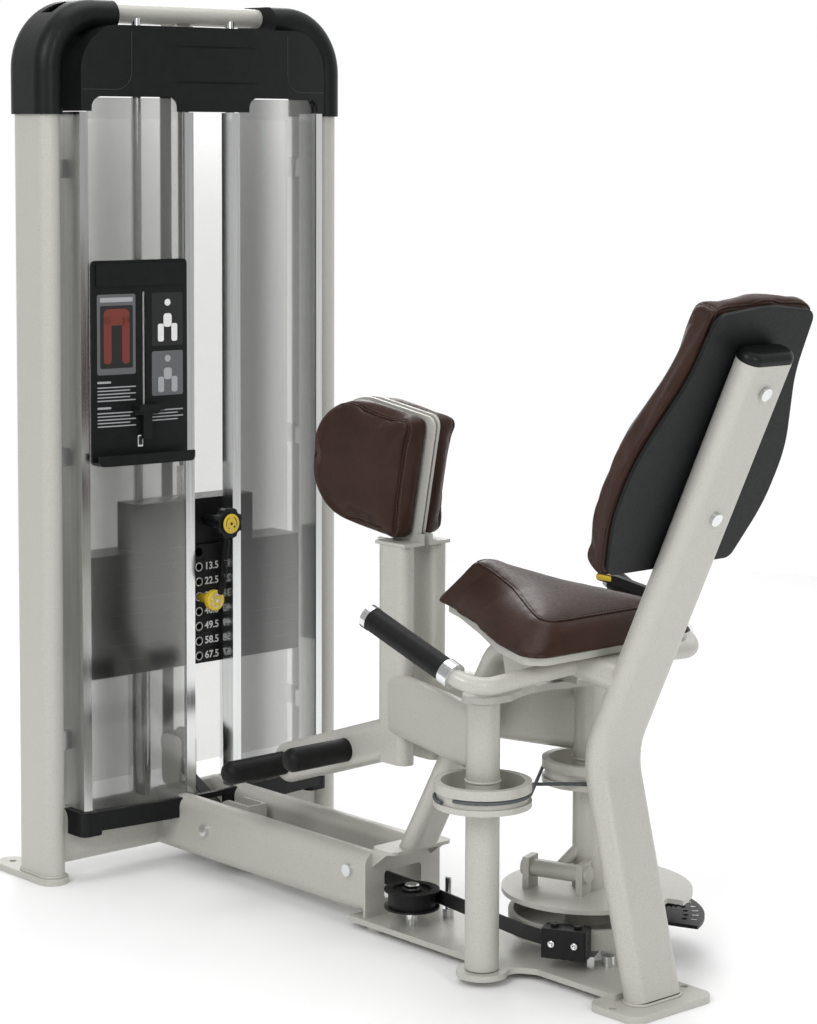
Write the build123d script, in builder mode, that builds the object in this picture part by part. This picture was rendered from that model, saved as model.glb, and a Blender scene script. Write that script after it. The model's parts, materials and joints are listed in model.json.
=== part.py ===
"""Seated inner-thigh (hip adduction) weight-stack machine.

Frame: +Z up, +Y from the seat towards the weight tower, +X the seated user's right.
The origin is on the floor at the middle of the machine's footprint.
Units are millimetres.
"""
import os
from math import atan, atan2, cos, degrees, hypot, pi, radians, sin, tan

from build123d import *

# ---------------------------------------------------------------- driving dimensions
PIVOT_Y = -308.2            # line through both arm pivots
PIVOT_X = 126.0             # each arm pivot, left and right of the middle
PIVOT_R = 28.5              # pivot tube, outside
PIVOT_WALL = 3.5

FRAME_OVAL = (46.0, 110.0)  # flat-oval frame tube, thin and wide side
ARM_OVAL = (36.0, 74.0)     # flat-oval pad-post and foot-bar tube
WALL = 3.0                  # tube wall

FOOT_T = 12.0               # foot plates on the floor
BASE_T = 10.0               # base plate on top of the foot plates
BASE_TOP = FOOT_T + BASE_T

TOWER_Y = PIVOT_Y + 993.0   # middle of the two uprights
UPRIGHT_X = 331.0
UPRIGHT_TOP = 1500.0
TOP_TUBE_Z = 1631.5
TOP_TUBE_R = 18.5
FRONT_Y = PIVOT_Y + 893.0   # tower front at the slot
FRONT_BOW_R = 1750.0        # plan radius of the bowed tower front
SHIELD_T = 3.0
SLOT_HALF = 46.0            # half width of the open slot in the tower front
TRIM_W = 20.0
CORNER_X = 290.0            # outside of the corner trims
CORNER_W = 17.0
SHIELD_BOTTOM = 134.0
SHIELD_TOP = 1472.0
REAR_SHIELD_Y = PIVOT_Y + 1051.0
CAP_BOTTOM = 1441.0

RAIL_X = 66.0
RAIL_Z = 83.0
RAIL_END_Y = PIVOT_Y + 346.0
CROSS_Y = PIVOT_Y + 981.0
CROSS_Z = 82.0

STACK_Y = PIVOT_Y + 985.0   # guide rods and selector stem
ROD_X = 112.0
ROD_R = 9.5
RUN_GAP = 0.08              # radial running clearance
PLATE_W, PLATE_D = 500.0, 84.0
PLATE_PITCH = 29.2
PLATE_GAP = 0.6
STACK_BOTTOM = 377.2
RESTING = 4                 # plates below the selector pin
LIFTED = 3                  # plates above it
STEM_R = 11.0
PIN_R = 5.0

BELT_W, BELT_T = 25.0, 3.0
BELT_Z = 70.0               # middle of the low belt run
IDLER_X, IDLER_Y = -48.0, PIVOT_Y + 262.0
IDLER_R = 42.0

ARM_Z = 407.0               # middle of the arm tube
POST_X, POST_Y = 37.0, PIVOT_Y + 317.0
POST_TOP = 688.0
FOOT_BAR_SLOPE = radians(18.6)
FOOT_BAR_END_Y = PIVOT_Y + 613.0
FOOT_BAR_END_Z = 247.0
PEG_R = 21.5
PEG_REACH = 136.0
DRUM_R, DRUM_WALL = 82.0, 7.0
DRUM_Z = (300.0, 342.0)

PAD_TILT = 8.3              # leg pads tip up towards the tower
PAD_HEIGHT = 224.0
PAD_LENGTH = 256.0
PAD_T = 52.0
PAD_INNER_X = 13.0          # back of each pad from the middle

CAM_R = 133.0
CAM_OFF = 27.0              # cam centre from the pivot
CAM_DIR = radians(215.0)
CAM_Z = (50.0, 84.0)
SECTOR_Z = (108.0, 116.0)

LEAN = radians(25.5)        # back rest and upper post, from vertical
POST_FOOT = (PIVOT_Y - 270.0, FOOT_T)
POST_BEND = (PIVOT_Y - 168.7, 400.6)
BACK_ORIGIN = (PIVOT_Y - 240.0, 550.0)   # point on the upper post's middle line
POST_END = 572.0            # top end, along the post from that point
BEND_R = 130.0
SEAT_TILT = atan(0.15)


# ---------------------------------------------------------------- helpers
def save(part, name):
    """Label one finished piece and write it as parts/name.step."""
    part.label = name
    export_step(part, f"parts/{name}.step")


def oval(thin, wide, wall=0.0, rotation=0.0):
    """Flat-oval tube section in the open sketch, long side along X unless turned."""
    SlotOverall(wide, thin, rotation=rotation)
    if wall:
        SlotOverall(wide - 2 * wall, thin - 2 * wall, rotation=rotation, mode=Mode.SUBTRACT)


def front_y(x, proud=0.0):
    """Y of the bowed tower front at x, moved towards the seat by proud."""
    return FRONT_Y - proud + x * x / (2 * FRONT_BOW_R)


def bowed_band(x0, x1, proud, thick):
    """Closed plan outline of a bowed sheet between x0 and x1 in the open sketch."""
    xm = (x0 + x1) / 2
    with BuildLine() as edge_line:
        outer = ThreePointArc((x0, front_y(x0, proud)), (xm, front_y(xm, proud)), (x1, front_y(x1, proud)))
        inner = ThreePointArc(
            (x0, front_y(x0, proud) + thick), (xm, front_y(xm, proud) + thick), (x1, front_y(x1, proud) + thick)
        )
        Line(outer @ 0, inner @ 0)
        Line(outer @ 1, inner @ 1)
    make_face(edge_line.edges())


def both_sides(part):
    """Mirror a finished left-hand piece to the right and keep both."""
    with BuildPart() as pair:
        add(part)
        mirror(about=Plane.YZ)
    return pair.part


def lean_plane(along, out):
    """Plane facing the user, along the sloping upper post and out from its middle line."""
    y = BACK_ORIGIN[0] - along * sin(LEAN) + out * cos(LEAN)
    z = BACK_ORIGIN[1] + along * cos(LEAN) + out * sin(LEAN)
    return Plane(origin=(0, y, z), x_dir=(-1, 0, 0), z_dir=(0, cos(LEAN), sin(LEAN)))


os.makedirs("parts", exist_ok=True)


# ---------------------------------------------------------------- tower frame
with BuildPart() as uprights:
    with BuildSketch(Plane.XY.offset(FOOT_T)):
        with Locations((-UPRIGHT_X, TOWER_Y), (UPRIGHT_X, TOWER_Y)):
            oval(*FRAME_OVAL, WALL, 90)
    extrude(amount=UPRIGHT_TOP - FOOT_T)
save(uprights.part, "uprights")

TOWER_FOOT_W = 62.0
TOWER_FOOT_Y = (PIVOT_Y + 930.0, PIVOT_Y + 1128.0)
TOWER_HOLE_Y = PIVOT_Y + 1096.0
ANCHOR_R = 6.5
REAR_FOOT = (192.0, 112.0)          # plate under the main post
REAR_FOOT_Y = PIVOT_Y - 267.0
REAR_HOLE_X = 84.0
REAR_HOLE_Y = PIVOT_Y - 262.0
FRONT_FOOT_R = 24.0
FRONT_FOOT_Y = PIVOT_Y + 330.0
with BuildPart() as foot_plates:
    with BuildSketch():
        with Locations(*[(s * UPRIGHT_X, sum(TOWER_FOOT_Y) / 2) for s in (-1, 1)]):
            SlotOverall(TOWER_FOOT_Y[1] - TOWER_FOOT_Y[0], TOWER_FOOT_W, rotation=90)
        with Locations((0, REAR_FOOT_Y)):
            RectangleRounded(*REAR_FOOT, 26)
        with Locations(*[(s * UPRIGHT_X, TOWER_HOLE_Y) for s in (-1, 1)]):
            Circle(ANCHOR_R, mode=Mode.SUBTRACT)
        with Locations(*[(s * REAR_HOLE_X, REAR_HOLE_Y) for s in (-1, 1)]):
            Circle(ANCHOR_R, mode=Mode.SUBTRACT)
    extrude(amount=FOOT_T)
    chamfer(foot_plates.faces().filter_by(Axis.Z).sort_by(Axis.Z)[-3:].edges(), 0.8)
    with BuildSketch():
        with Locations(*[(s * 62.0, FRONT_FOOT_Y) for s in (-1, 1)]):
            Circle(FRONT_FOOT_R)
    extrude(amount=FOOT_T)
save(foot_plates.part, "foot_plates")

UPRIGHT_INNER_X = UPRIGHT_X - FRAME_OVAL[0] / 2
HOOP_FOOT_Z = 1440.0                # ends of the top tube, inside the uprights
CAP_BEND_IN = 104.0
BRACKET_T = 5.0                     # pulley bracket plates
BRACKET_GAP = 16.0                  # half the gap between two bracket plates
AXLE_R = 6.0
PULLEY_R, PULLEY_FLANGE = 27.0, 32.0
BELT_GAP = 0.4
BELT_R = PULLEY_R + BELT_GAP + BELT_T / 2
TOP_PULLEY = (STACK_Y + BELT_R, 1560.0)
LOWER_PULLEY = (STACK_Y + BELT_R, 205.0)
with BuildPart() as tower_crossbars:
    with BuildSketch(Plane.YZ.offset(-UPRIGHT_INNER_X)):
        with Locations((CROSS_Y, CROSS_Z)):
            oval(*FRAME_OVAL, WALL, 90)
    extrude(amount=2 * UPRIGHT_INNER_X)
    with BuildLine(Plane.XZ.offset(-TOWER_Y)) as hoop_path:
        FilletPolyline(
            (-UPRIGHT_X, HOOP_FOOT_Z), (-UPRIGHT_X, TOP_TUBE_Z), (UPRIGHT_X, TOP_TUBE_Z), (UPRIGHT_X, HOOP_FOOT_Z),
            radius=CAP_BEND_IN,
        )
    with BuildSketch(Plane.XY.offset(HOOP_FOOT_Z)):
        with Locations((-UPRIGHT_X, TOWER_Y)):
            Circle(TOP_TUBE_R)
    sweep(path=hoop_path.line)
    for side in (-1, 1):
        with BuildSketch(Plane.YZ.offset(side * BRACKET_GAP)):
            with Locations((TOWER_Y + 12, 1581)):
                RectangleRounded(48, 82, 14)
            with Locations((CROSS_Y + 26, 176)):
                RectangleRounded(58, 100, 14)
            with Locations((CROSS_Y, CROSS_Z)):
                oval(FRAME_OVAL[0] - 2, FRAME_OVAL[1] - 2, 0, 90)
        extrude(amount=side * BRACKET_T)
    with BuildSketch(Plane.YZ.offset(-BRACKET_GAP - BRACKET_T)):
        with Locations(TOP_PULLEY, LOWER_PULLEY):
            Circle(AXLE_R)
    extrude(amount=2 * (BRACKET_GAP + BRACKET_T))
save(tower_crossbars.part, "tower_crossbars")

# ---------------------------------------------------------------- base frame
with BuildPart() as base_rails:
    with BuildSketch(Plane.XZ.offset(-RAIL_END_Y)):
        with Locations((-RAIL_X, RAIL_Z), (RAIL_X, RAIL_Z)):
            oval(FRAME_OVAL[0], 112.0, WALL, 90)
    extrude(amount=-(CROSS_Y - RAIL_END_Y))
    with BuildSketch(Plane.YZ.offset(-UPRIGHT_INNER_X)):
        with Locations((CROSS_Y, CROSS_Z)):
            oval(*FRAME_OVAL, 0, 90)
    extrude(amount=2 * UPRIGHT_INNER_X, mode=Mode.SUBTRACT)
save(base_rails.part, "base_rails")

BRIDGE_Y = (PIVOT_Y + 758.0, PIVOT_Y + 852.0)
BRIDGE_Z = (34.0, 131.0)
BRIDGE_HALF = 22.0
BRIDGE_T = 5.0
BRIDGE_PULLEY = (PIVOT_Y + 806.0, 88.0)
BRIDGE_PULLEY_R = 16.0
with BuildPart() as rail_bridge:
    with BuildSketch(Plane.XY.offset(BRIDGE_Z[0])):
        with Locations((0, sum(BRIDGE_Y) / 2)):
            Rectangle(2 * BRIDGE_HALF, BRIDGE_Y[1] - BRIDGE_Y[0])
        with Locations((0, sum(BRIDGE_Y) / 2 + BRIDGE_T)):
            Rectangle(2 * (BRIDGE_HALF - BRIDGE_T), BRIDGE_Y[1] - BRIDGE_Y[0], mode=Mode.SUBTRACT)
    extrude(amount=BRIDGE_Z[1] - BRIDGE_Z[0])
    far_top = rail_bridge.edges().filter_by(Axis.X).group_by(Axis.Z)[-1].sort_by(Axis.Y)[-2:]
    fillet(far_top, 34)
    with BuildSketch(Plane.XZ.offset(-BRIDGE_Y[0])):
        with Locations((0, BELT_Z)):
            Rectangle(34, 44)
    extrude(amount=-BRIDGE_T, mode=Mode.SUBTRACT)
    with BuildSketch(Plane.YZ.offset(-RAIL_X + FRAME_OVAL[0] / 2)):
        with Locations(BRIDGE_PULLEY):
            Circle(AXLE_R)
    extrude(amount=2 * RAIL_X - FRAME_OVAL[0])
save(rail_bridge.part, "rail_bridge")

END_BOX_T = 6.0
FLANGE_Z = 142.0
FLANGE_HALF = 73.0
FLANGE_Y = PIVOT_Y + 286.0
WINDOW = (88.0, 52.0, 75.0)         # width, height, middle height
with BuildPart() as rail_end_box:
    with BuildSketch(Plane.XZ.offset(-RAIL_END_Y)):
        with Locations((0, (BASE_TOP + RAIL_Z + 56) / 2)):
            Rectangle(2 * RAIL_X + FRAME_OVAL[0], RAIL_Z + 56 - BASE_TOP)
        fillet(vertices().group_by(Axis.Y)[-1], 23)
        with Locations((0, (RAIL_Z + FLANGE_Z) / 2)):
            Rectangle(2 * FLANGE_HALF, FLANGE_Z - RAIL_Z)
        with Locations((0, WINDOW[2])):
            RectangleRounded(WINDOW[0], WINDOW[1], 8, mode=Mode.SUBTRACT)
    extrude(amount=END_BOX_T)
    with BuildSketch(Plane.XY.offset(FLANGE_Z)):
        with Locations((0, (FLANGE_Y + RAIL_END_Y) / 2)):
            RectangleRounded(2 * FLANGE_HALF, RAIL_END_Y - FLANGE_Y, 16)
    extrude(amount=END_BOX_T)
    for side in (-1, 1):
        with BuildSketch(Plane.YZ.offset(side * (FLANGE_HALF - END_BOX_T / 2))):
            with BuildLine():
                Polyline(
                    (RAIL_END_Y, FLANGE_Z), (FLANGE_Y + 14, FLANGE_Z), (RAIL_END_Y - END_BOX_T, FLANGE_Z - 30),
                    (RAIL_END_Y, FLANGE_Z - 30), close=True,
                )
            make_face()
        extrude(amount=END_BOX_T / 2, both=True)
save(rail_end_box.part, "rail_end_box")

BASE_FRONT_Y = PIVOT_Y + 378.0
BASE_HALF = 96.0
BASE_REAR_Y = PIVOT_Y - 240.0
LOBE_R = 43.0
WAVE_R = 60.0
with BuildPart() as base_plate:
    with BuildSketch(Plane.XY.offset(FOOT_T)) as outline:
        with Locations((0, (BASE_FRONT_Y + PIVOT_Y) / 2)):
            Rectangle(2 * BASE_HALF, BASE_FRONT_Y - PIVOT_Y)
        with BuildLine():
            Polyline(
                (-BASE_HALF, PIVOT_Y + 1), (-58, PIVOT_Y - 62), (-58, BASE_REAR_Y), (58, BASE_REAR_Y),
                (58, PIVOT_Y - 62), (BASE_HALF, PIVOT_Y + 1), close=True,
            )
        make_face()
        with Locations((-PIVOT_X, PIVOT_Y), (PIVOT_X, PIVOT_Y)):
            Circle(LOBE_R)
    extrude(amount=BASE_T)
    inner = base_plate.edges().filter_by(Axis.Z).filter_by(
        lambda e: PIVOT_Y - 90 < e.center().Y < PIVOT_Y + 60 and abs(e.center().X) < 120
    )
    fillet(inner, 22)
save(base_plate.part, "base_plate")

# ---------------------------------------------------------------- main post and seat frame
POST_TOP_YZ = (BACK_ORIGIN[0] - POST_END * sin(LEAN), BACK_ORIGIN[1] + POST_END * cos(LEAN))
BACK_BOLTS = (525.0, 299.0)         # along the upper post
with BuildPart() as main_post:
    with BuildLine(Plane.YZ) as post_path:
        FilletPolyline(POST_FOOT, POST_BEND, POST_TOP_YZ, radius=BEND_R)
    with BuildSketch(Plane(origin=post_path.line @ 0, x_dir=(1, 0, 0), z_dir=post_path.line % 0)):
        oval(*FRAME_OVAL, WALL)
    sweep()
    with BuildSketch(Plane.XY.offset(FOOT_T)):
        with Locations((0, POST_FOOT[0])):
            Rectangle(200, 200)
    extrude(amount=-60, mode=Mode.SUBTRACT)
    for along in BACK_BOLTS:
        with BuildSketch(lean_plane(along, -40)):
            Circle(5.0)
        extrude(amount=80, mode=Mode.SUBTRACT)
save(main_post.part, "main_post")

with BuildPart() as post_cap:
    top_end = Plane(origin=(0, *POST_TOP_YZ), x_dir=(1, 0, 0), z_dir=(0, -sin(LEAN), cos(LEAN)))
    with BuildSketch(top_end):
        oval(*FRAME_OVAL)
    extrude(amount=17)
    fillet(post_cap.faces().sort_by(Axis(top_end.origin, top_end.z_dir))[-1].edges(), 12)
    with BuildSketch(top_end):
        oval(FRAME_OVAL[0] - 2 * WALL - 1.6, FRAME_OVAL[1] - 2 * WALL - 1.6)
    extrude(amount=-18)
save(post_cap.part, "post_cap")

BEAM_Y0, BEAM_Y1 = PIVOT_Y - 232.0, PIVOT_Y - 28.0
BEAM_MID = (PIVOT_Y - 132.0, 545.0)


def beam_z(y, above=0.0):
    """Height of the sloping seat beam's middle line at y, or of a line above it."""
    return BEAM_MID[1] + (y - BEAM_MID[0]) * tan(SEAT_TILT) + above / cos(SEAT_TILT)


BRACE_FOOT = (PIVOT_Y + 300.0, FLANGE_Z + END_BOX_T)
BRACE_BEND = (PIVOT_Y + 74.0, 546.0)
BRACE_END = (PIVOT_Y - 45.0, 532.0)
with BuildPart() as seat_frame:
    beam_start = Plane(
        origin=(0, BEAM_Y0, beam_z(BEAM_Y0)), x_dir=(1, 0, 0), z_dir=(0, cos(SEAT_TILT), sin(SEAT_TILT))
    )
    with BuildSketch(beam_start):
        oval(*FRAME_OVAL)
    extrude(amount=(BEAM_Y1 - BEAM_Y0) / cos(SEAT_TILT))
    below = (BRACE_FOOT[0] + 17.0, BRACE_FOOT[1] - 30.0)
    with BuildLine(Plane.YZ) as brace_path:
        FilletPolyline(below, BRACE_BEND, BRACE_END, radius=58)
    with BuildSketch(Plane(origin=brace_path.line @ 0, x_dir=(1, 0, 0), z_dir=brace_path.line % 0)):
        oval(*ARM_OVAL)
    sweep(path=brace_path.line)
    with BuildSketch(Plane.XY.offset(FLANGE_Z + END_BOX_T)):
        with Locations((0, BRACE_FOOT[0])):
            Rectangle(200, 200)
    extrude(amount=-80, mode=Mode.SUBTRACT)
    with BuildSketch(Plane(origin=post_path.line @ 0, x_dir=(1, 0, 0), z_dir=post_path.line % 0)):
        oval(*FRAME_OVAL)
    sweep(path=post_path.line, mode=Mode.SUBTRACT)
seat_beams = seat_frame.solids().sort_by(SortBy.VOLUME)[-1]
save(seat_beams, "seat_frame")

TOP_PLATE_Z = 475.0
TOP_PLATE_T = 11.0
TOP_PLATE_R = 35.0
with BuildPart() as pivot_top_plate:
    with BuildSketch(Plane.XY.offset(TOP_PLATE_Z)):
        with Locations((0, PIVOT_Y)):
            SlotCenterToCenter(2 * PIVOT_X, 2 * TOP_PLATE_R)
        with Locations((0, PIVOT_Y - 11 - 200)):
            Circle(200, mode=Mode.SUBTRACT)
        with Locations((-PIVOT_X, PIVOT_Y), (PIVOT_X, PIVOT_Y)):
            Circle(12.2, mode=Mode.SUBTRACT)
    extrude(amount=TOP_PLATE_T)
save(pivot_top_plate.part, "pivot_top_plate")

# ---------------------------------------------------------------- handles
HANDLE_R = 14.5
GRIP_R = 20.0
HANDLE_PTS = ((-44.0, PIVOT_Y - 132.0, 544.0), (-264.5, PIVOT_Y - 125.0, 531.0), (-286.0, PIVOT_Y + 104.0, 620.5))
GRIP_FROM = 64.0                    # start of the rubber grip, along the forward leg from the bend corner
GRIP_LENGTH = 172.0
RING_L = 20.0


def grip_plane(along):
    """Plane square to the left handle's forward leg, along it from the bend corner."""
    corner, tip = Vector(*HANDLE_PTS[1]), Vector(*HANDLE_PTS[2])
    way = (tip - corner).normalized()
    return Plane(origin=corner + way * along, z_dir=way)


with BuildPart() as one_handle:
    with BuildLine() as handle_path:
        FilletPolyline(*HANDLE_PTS, radius=48)
    with BuildSketch(Plane(origin=handle_path.line @ 0, z_dir=handle_path.line % 0)):
        Circle(HANDLE_R)
        Circle(HANDLE_R - 2.5, mode=Mode.SUBTRACT)
    sweep()
    add(seat_beams, mode=Mode.SUBTRACT)
save(both_sides(one_handle.part), "handle_bars")

with BuildPart() as one_grip:
    with BuildSketch(grip_plane(GRIP_FROM)):
        Circle(GRIP_R)
        Circle(HANDLE_R, mode=Mode.SUBTRACT)
    extrude(amount=GRIP_LENGTH)
    fillet(one_grip.edges().filter_by(GeomType.CIRCLE).filter_by(lambda e: e.radius > HANDLE_R + 1), 2)
save(both_sides(one_grip.part), "handle_grips")

with BuildPart() as one_ring_set:
    with BuildSketch(grip_plane(GRIP_FROM - RING_L)):
        Circle(GRIP_R + 2)
        Circle(HANDLE_R, mode=Mode.SUBTRACT)
    extrude(amount=RING_L)
    with BuildSketch(grip_plane(GRIP_FROM + GRIP_LENGTH)):
        Circle(GRIP_R + 1)
        Circle(HANDLE_R, mode=Mode.SUBTRACT)
    extrude(amount=8)
    with BuildSketch(grip_plane(GRIP_FROM + GRIP_LENGTH + 8)):
        Circle(GRIP_R + 1)
    extrude(amount=4)
    add(one_handle.part, mode=Mode.SUBTRACT)
save(both_sides(one_ring_set.part), "grip_rings")

# ---------------------------------------------------------------- seat
SEAT_TOP = (660.0, 0.17)            # height at the pivots and slope of the top plane
SEAT_UNDER = (586.0, 0.06)          # the same for the underside
SEAT_TOP_PTS = ((147, -162), (110, -88), (60, 2), (30, 88), (23, 140))
SEAT_UNDER_PTS = ((207, -192), (168, -58), (112, 40), (58, 165), (40, 220))
SEAT_TOP_RADII = (22, 120, 120, 80, 14)
SEAT_UNDER_RADII = (34, 150, 200, 90, 26)
PAN_T = 12.0


def seat_plane(level):
    """Sloping plane of the seat's top or underside, with its origin over the pivots."""
    return Plane(origin=(0, PIVOT_Y, level[0]), x_dir=(1, 0, 0), z_dir=(0, -level[1], 1))


def seat_bottom(y):
    """Height of the underside of the seat cushion at y."""
    return SEAT_UNDER[0] + (y - PIVOT_Y) * SEAT_UNDER[1]


def seat_outline(points, radii, inset):
    """Plan outline of the seat from its right-hand corners, moved in by inset, in the open sketch."""
    right = tuple((x - inset, y + (inset if y < -100 else -inset if y > 100 else 0)) for x, y in points)
    left = tuple((-x, y) for x, y in reversed(right))
    with BuildLine() as edge_line:
        FilletPolyline(*right, *left, radius=(*radii, *reversed(radii)), close=True)
    make_face(edge_line.edges())


with BuildPart() as seat_cushion:
    with BuildSketch(seat_plane(SEAT_UNDER).offset(10)):
        seat_outline(SEAT_UNDER_PTS, SEAT_UNDER_RADII, 0)
    with BuildSketch(seat_plane(SEAT_TOP)):
        seat_outline(SEAT_TOP_PTS, SEAT_TOP_RADII, 0)
    loft(ruled=True)
    with BuildSketch(seat_plane(SEAT_UNDER)):
        seat_outline(SEAT_UNDER_PTS, SEAT_UNDER_RADII, 0)
    extrude(amount=10)
save(seat_cushion.part, "seat_cushion")

CHANNEL_X = 50.0
with BuildPart() as seat_pan:
    with BuildSketch(seat_plane(SEAT_UNDER)):
        seat_outline(SEAT_UNDER_PTS, SEAT_UNDER_RADII, 16)
    extrude(amount=-PAN_T)
    for side in (-1, 1):
        with BuildSketch(Plane.YZ.offset(side * CHANNEL_X)):
            with BuildLine():
                Polyline(
                    (PIVOT_Y - 45, seat_bottom(PIVOT_Y - 45) - 2), (PIVOT_Y - 45, TOP_PLATE_Z + TOP_PLATE_T),
                    (PIVOT_Y + 20, TOP_PLATE_Z + TOP_PLATE_T), (PIVOT_Y + 42, seat_bottom(PIVOT_Y + 42) - 2),
                    close=True,
                )
            make_face()
        extrude(amount=2.5, both=True)
    add(seat_beams, mode=Mode.SUBTRACT)
    with BuildSketch(beam_start):
        oval(*FRAME_OVAL)
    extrude(amount=(BEAM_Y1 - BEAM_Y0) / cos(SEAT_TILT), mode=Mode.SUBTRACT)
    with BuildSketch(Plane(origin=handle_path.line @ 0, z_dir=handle_path.line % 0)):
        Circle(HANDLE_R)
    sweep(path=handle_path.line, mode=Mode.SUBTRACT)
    add(mirror(one_handle.part, about=Plane.YZ), mode=Mode.SUBTRACT)
save(seat_pan.part, "seat_pan")

# ---------------------------------------------------------------- back rest
BACK_T0, BACK_T1 = 30.0, 86.0       # back cushion, out from the post's middle line
BOARD_T0 = 23.3
BOARD_PTS = ((142, 180), (174, 280), (174, 383), (121, 528), (112, 638))
CUSHION_PTS = ((153, 168), (184, 272), (184, 385), (130, 530), (121, 648))
BACK_CROWN = 13.0                   # rise of the top edge at the middle
BACK_RADII = (18, 240, 240, 260, 24)


def back_outline(points):
    """Back-rest outline from its right-hand corners, mirrored, in the open sketch."""
    left = tuple((-x, v) for x, v in reversed(points))
    crown = (0, points[-1][1] + BACK_CROWN)
    with BuildLine() as edge_line:
        FilletPolyline(*points, crown, *left, radius=(*BACK_RADII, 200, *reversed(BACK_RADII)), close=True)
    make_face(edge_line.edges())


with BuildPart() as back_cushion:
    with BuildSketch(lean_plane(0, BACK_T0)):
        back_outline(CUSHION_PTS)
    extrude(amount=BACK_T1 - BACK_T0)
    front = back_cushion.faces().sort_by(Axis(Vector(0, 0, 0), Vector(0, cos(LEAN), sin(LEAN))))[-1]
    fillet(front.edges(), 22)
save(back_cushion.part, "back_cushion")

with BuildPart() as back_board:
    with BuildSketch(lean_plane(0, BOARD_T0)):
        back_outline(BOARD_PTS)
    extrude(amount=BACK_T0 - BOARD_T0)
save(back_board.part, "back_board")

BOLT_R, BOLT_HEAD = 11.0, 7.0
with BuildPart() as frame_bolts:
    for along in BACK_BOLTS:
        with BuildSketch(lean_plane(along, -FRAME_OVAL[0] / 2 - BOLT_HEAD)):
            Circle(BOLT_R)
        extrude(amount=BOLT_HEAD)
        with BuildSketch(lean_plane(along, -FRAME_OVAL[0] / 2)):
            Circle(5.0)
        extrude(amount=FRAME_OVAL[0] - 0.2)
    for side in (-1, 1):
        with BuildSketch(Plane.YZ.offset(side * (RAIL_X + FRAME_OVAL[0] / 2))):
            with Locations(BRIDGE_PULLEY, (CROSS_Y - 60, RAIL_Z), (RAIL_END_Y + 40, RAIL_Z + 18)):
                Circle(BOLT_R)
        extrude(amount=side * BOLT_HEAD)
    with BuildSketch(Plane.XY.offset(TOP_PLATE_Z + TOP_PLATE_T)):
        with Locations((-PIVOT_X, PIVOT_Y), (PIVOT_X, PIVOT_Y)):
            Circle(15)
    extrude(amount=BOLT_HEAD)
    round_heads = frame_bolts.edges().filter_by(GeomType.CIRCLE).filter_by(lambda e: e.radius > BOLT_R - 1)
    chamfer(round_heads.group_by(Axis.Z)[-1], 2.5)
save(frame_bolts.part, "frame_bolts")

# ---------------------------------------------------------------- tower covers
with BuildPart() as one_shield:
    with BuildSketch(Plane.XY.offset(SHIELD_BOTTOM - 30)):
        bowed_band(-CORNER_X + CORNER_W, -SLOT_HALF - TRIM_W, 0, SHIELD_T)
    extrude(amount=SHIELD_TOP - SHIELD_BOTTOM + 30)
    with BuildSketch(Plane.XZ.offset(-RAIL_END_Y)):
        with Locations((-RAIL_X, RAIL_Z)):
            oval(FRAME_OVAL[0] + 4, 116.0, 0, 90)
    extrude(amount=-(CROSS_Y - RAIL_END_Y), mode=Mode.SUBTRACT)
shields = both_sides(one_shield.part)
save(shields, "front_shields")

TRIM_DEPTH = 32.0
SIDE_REAR_Y = PIVOT_Y + 984.0
TAB_ZS = (260.0, 800.0, 1340.0)
with BuildPart() as one_trim_set:
    with BuildSketch(Plane.XY.offset(SHIELD_BOTTOM)):
        bowed_band(-SLOT_HALF - TRIM_W, -SLOT_HALF, 2, 5)
        with Locations((-SLOT_HALF - 1.5, FRONT_Y + TRIM_DEPTH / 2)):
            Rectangle(3, TRIM_DEPTH - 2)
        bowed_band(-CORNER_X, -CORNER_X + CORNER_W, 2, 5)
        with Locations((-CORNER_X + 1.5, (front_y(CORNER_X) + SIDE_REAR_Y) / 2)):
            Rectangle(3, SIDE_REAR_Y - front_y(CORNER_X))
    extrude(amount=1446 - SHIELD_BOTTOM)
    for z in TAB_ZS:
        with Locations((-(CORNER_X - 3 + UPRIGHT_INNER_X) / 2, SIDE_REAR_Y + 4, z)):
            Box(UPRIGHT_INNER_X - CORNER_X + 3, 16, 34)
    with BuildSketch(Plane.XZ.offset(-RAIL_END_Y)):
        with Locations((-RAIL_X, RAIL_Z)):
            oval(FRAME_OVAL[0] + 4, 116.0, 0, 90)
    extrude(amount=-(CROSS_Y - RAIL_END_Y), mode=Mode.SUBTRACT)
    with BuildSketch(Plane.YZ.offset(-UPRIGHT_INNER_X)):
        with Locations((CROSS_Y, CROSS_Z)):
            oval(FRAME_OVAL[0] + 1, FRAME_OVAL[1] + 1, 0, 90)
    extrude(amount=UPRIGHT_INNER_X, mode=Mode.SUBTRACT)
save(both_sides(one_trim_set.part), "shield_trims")

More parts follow.
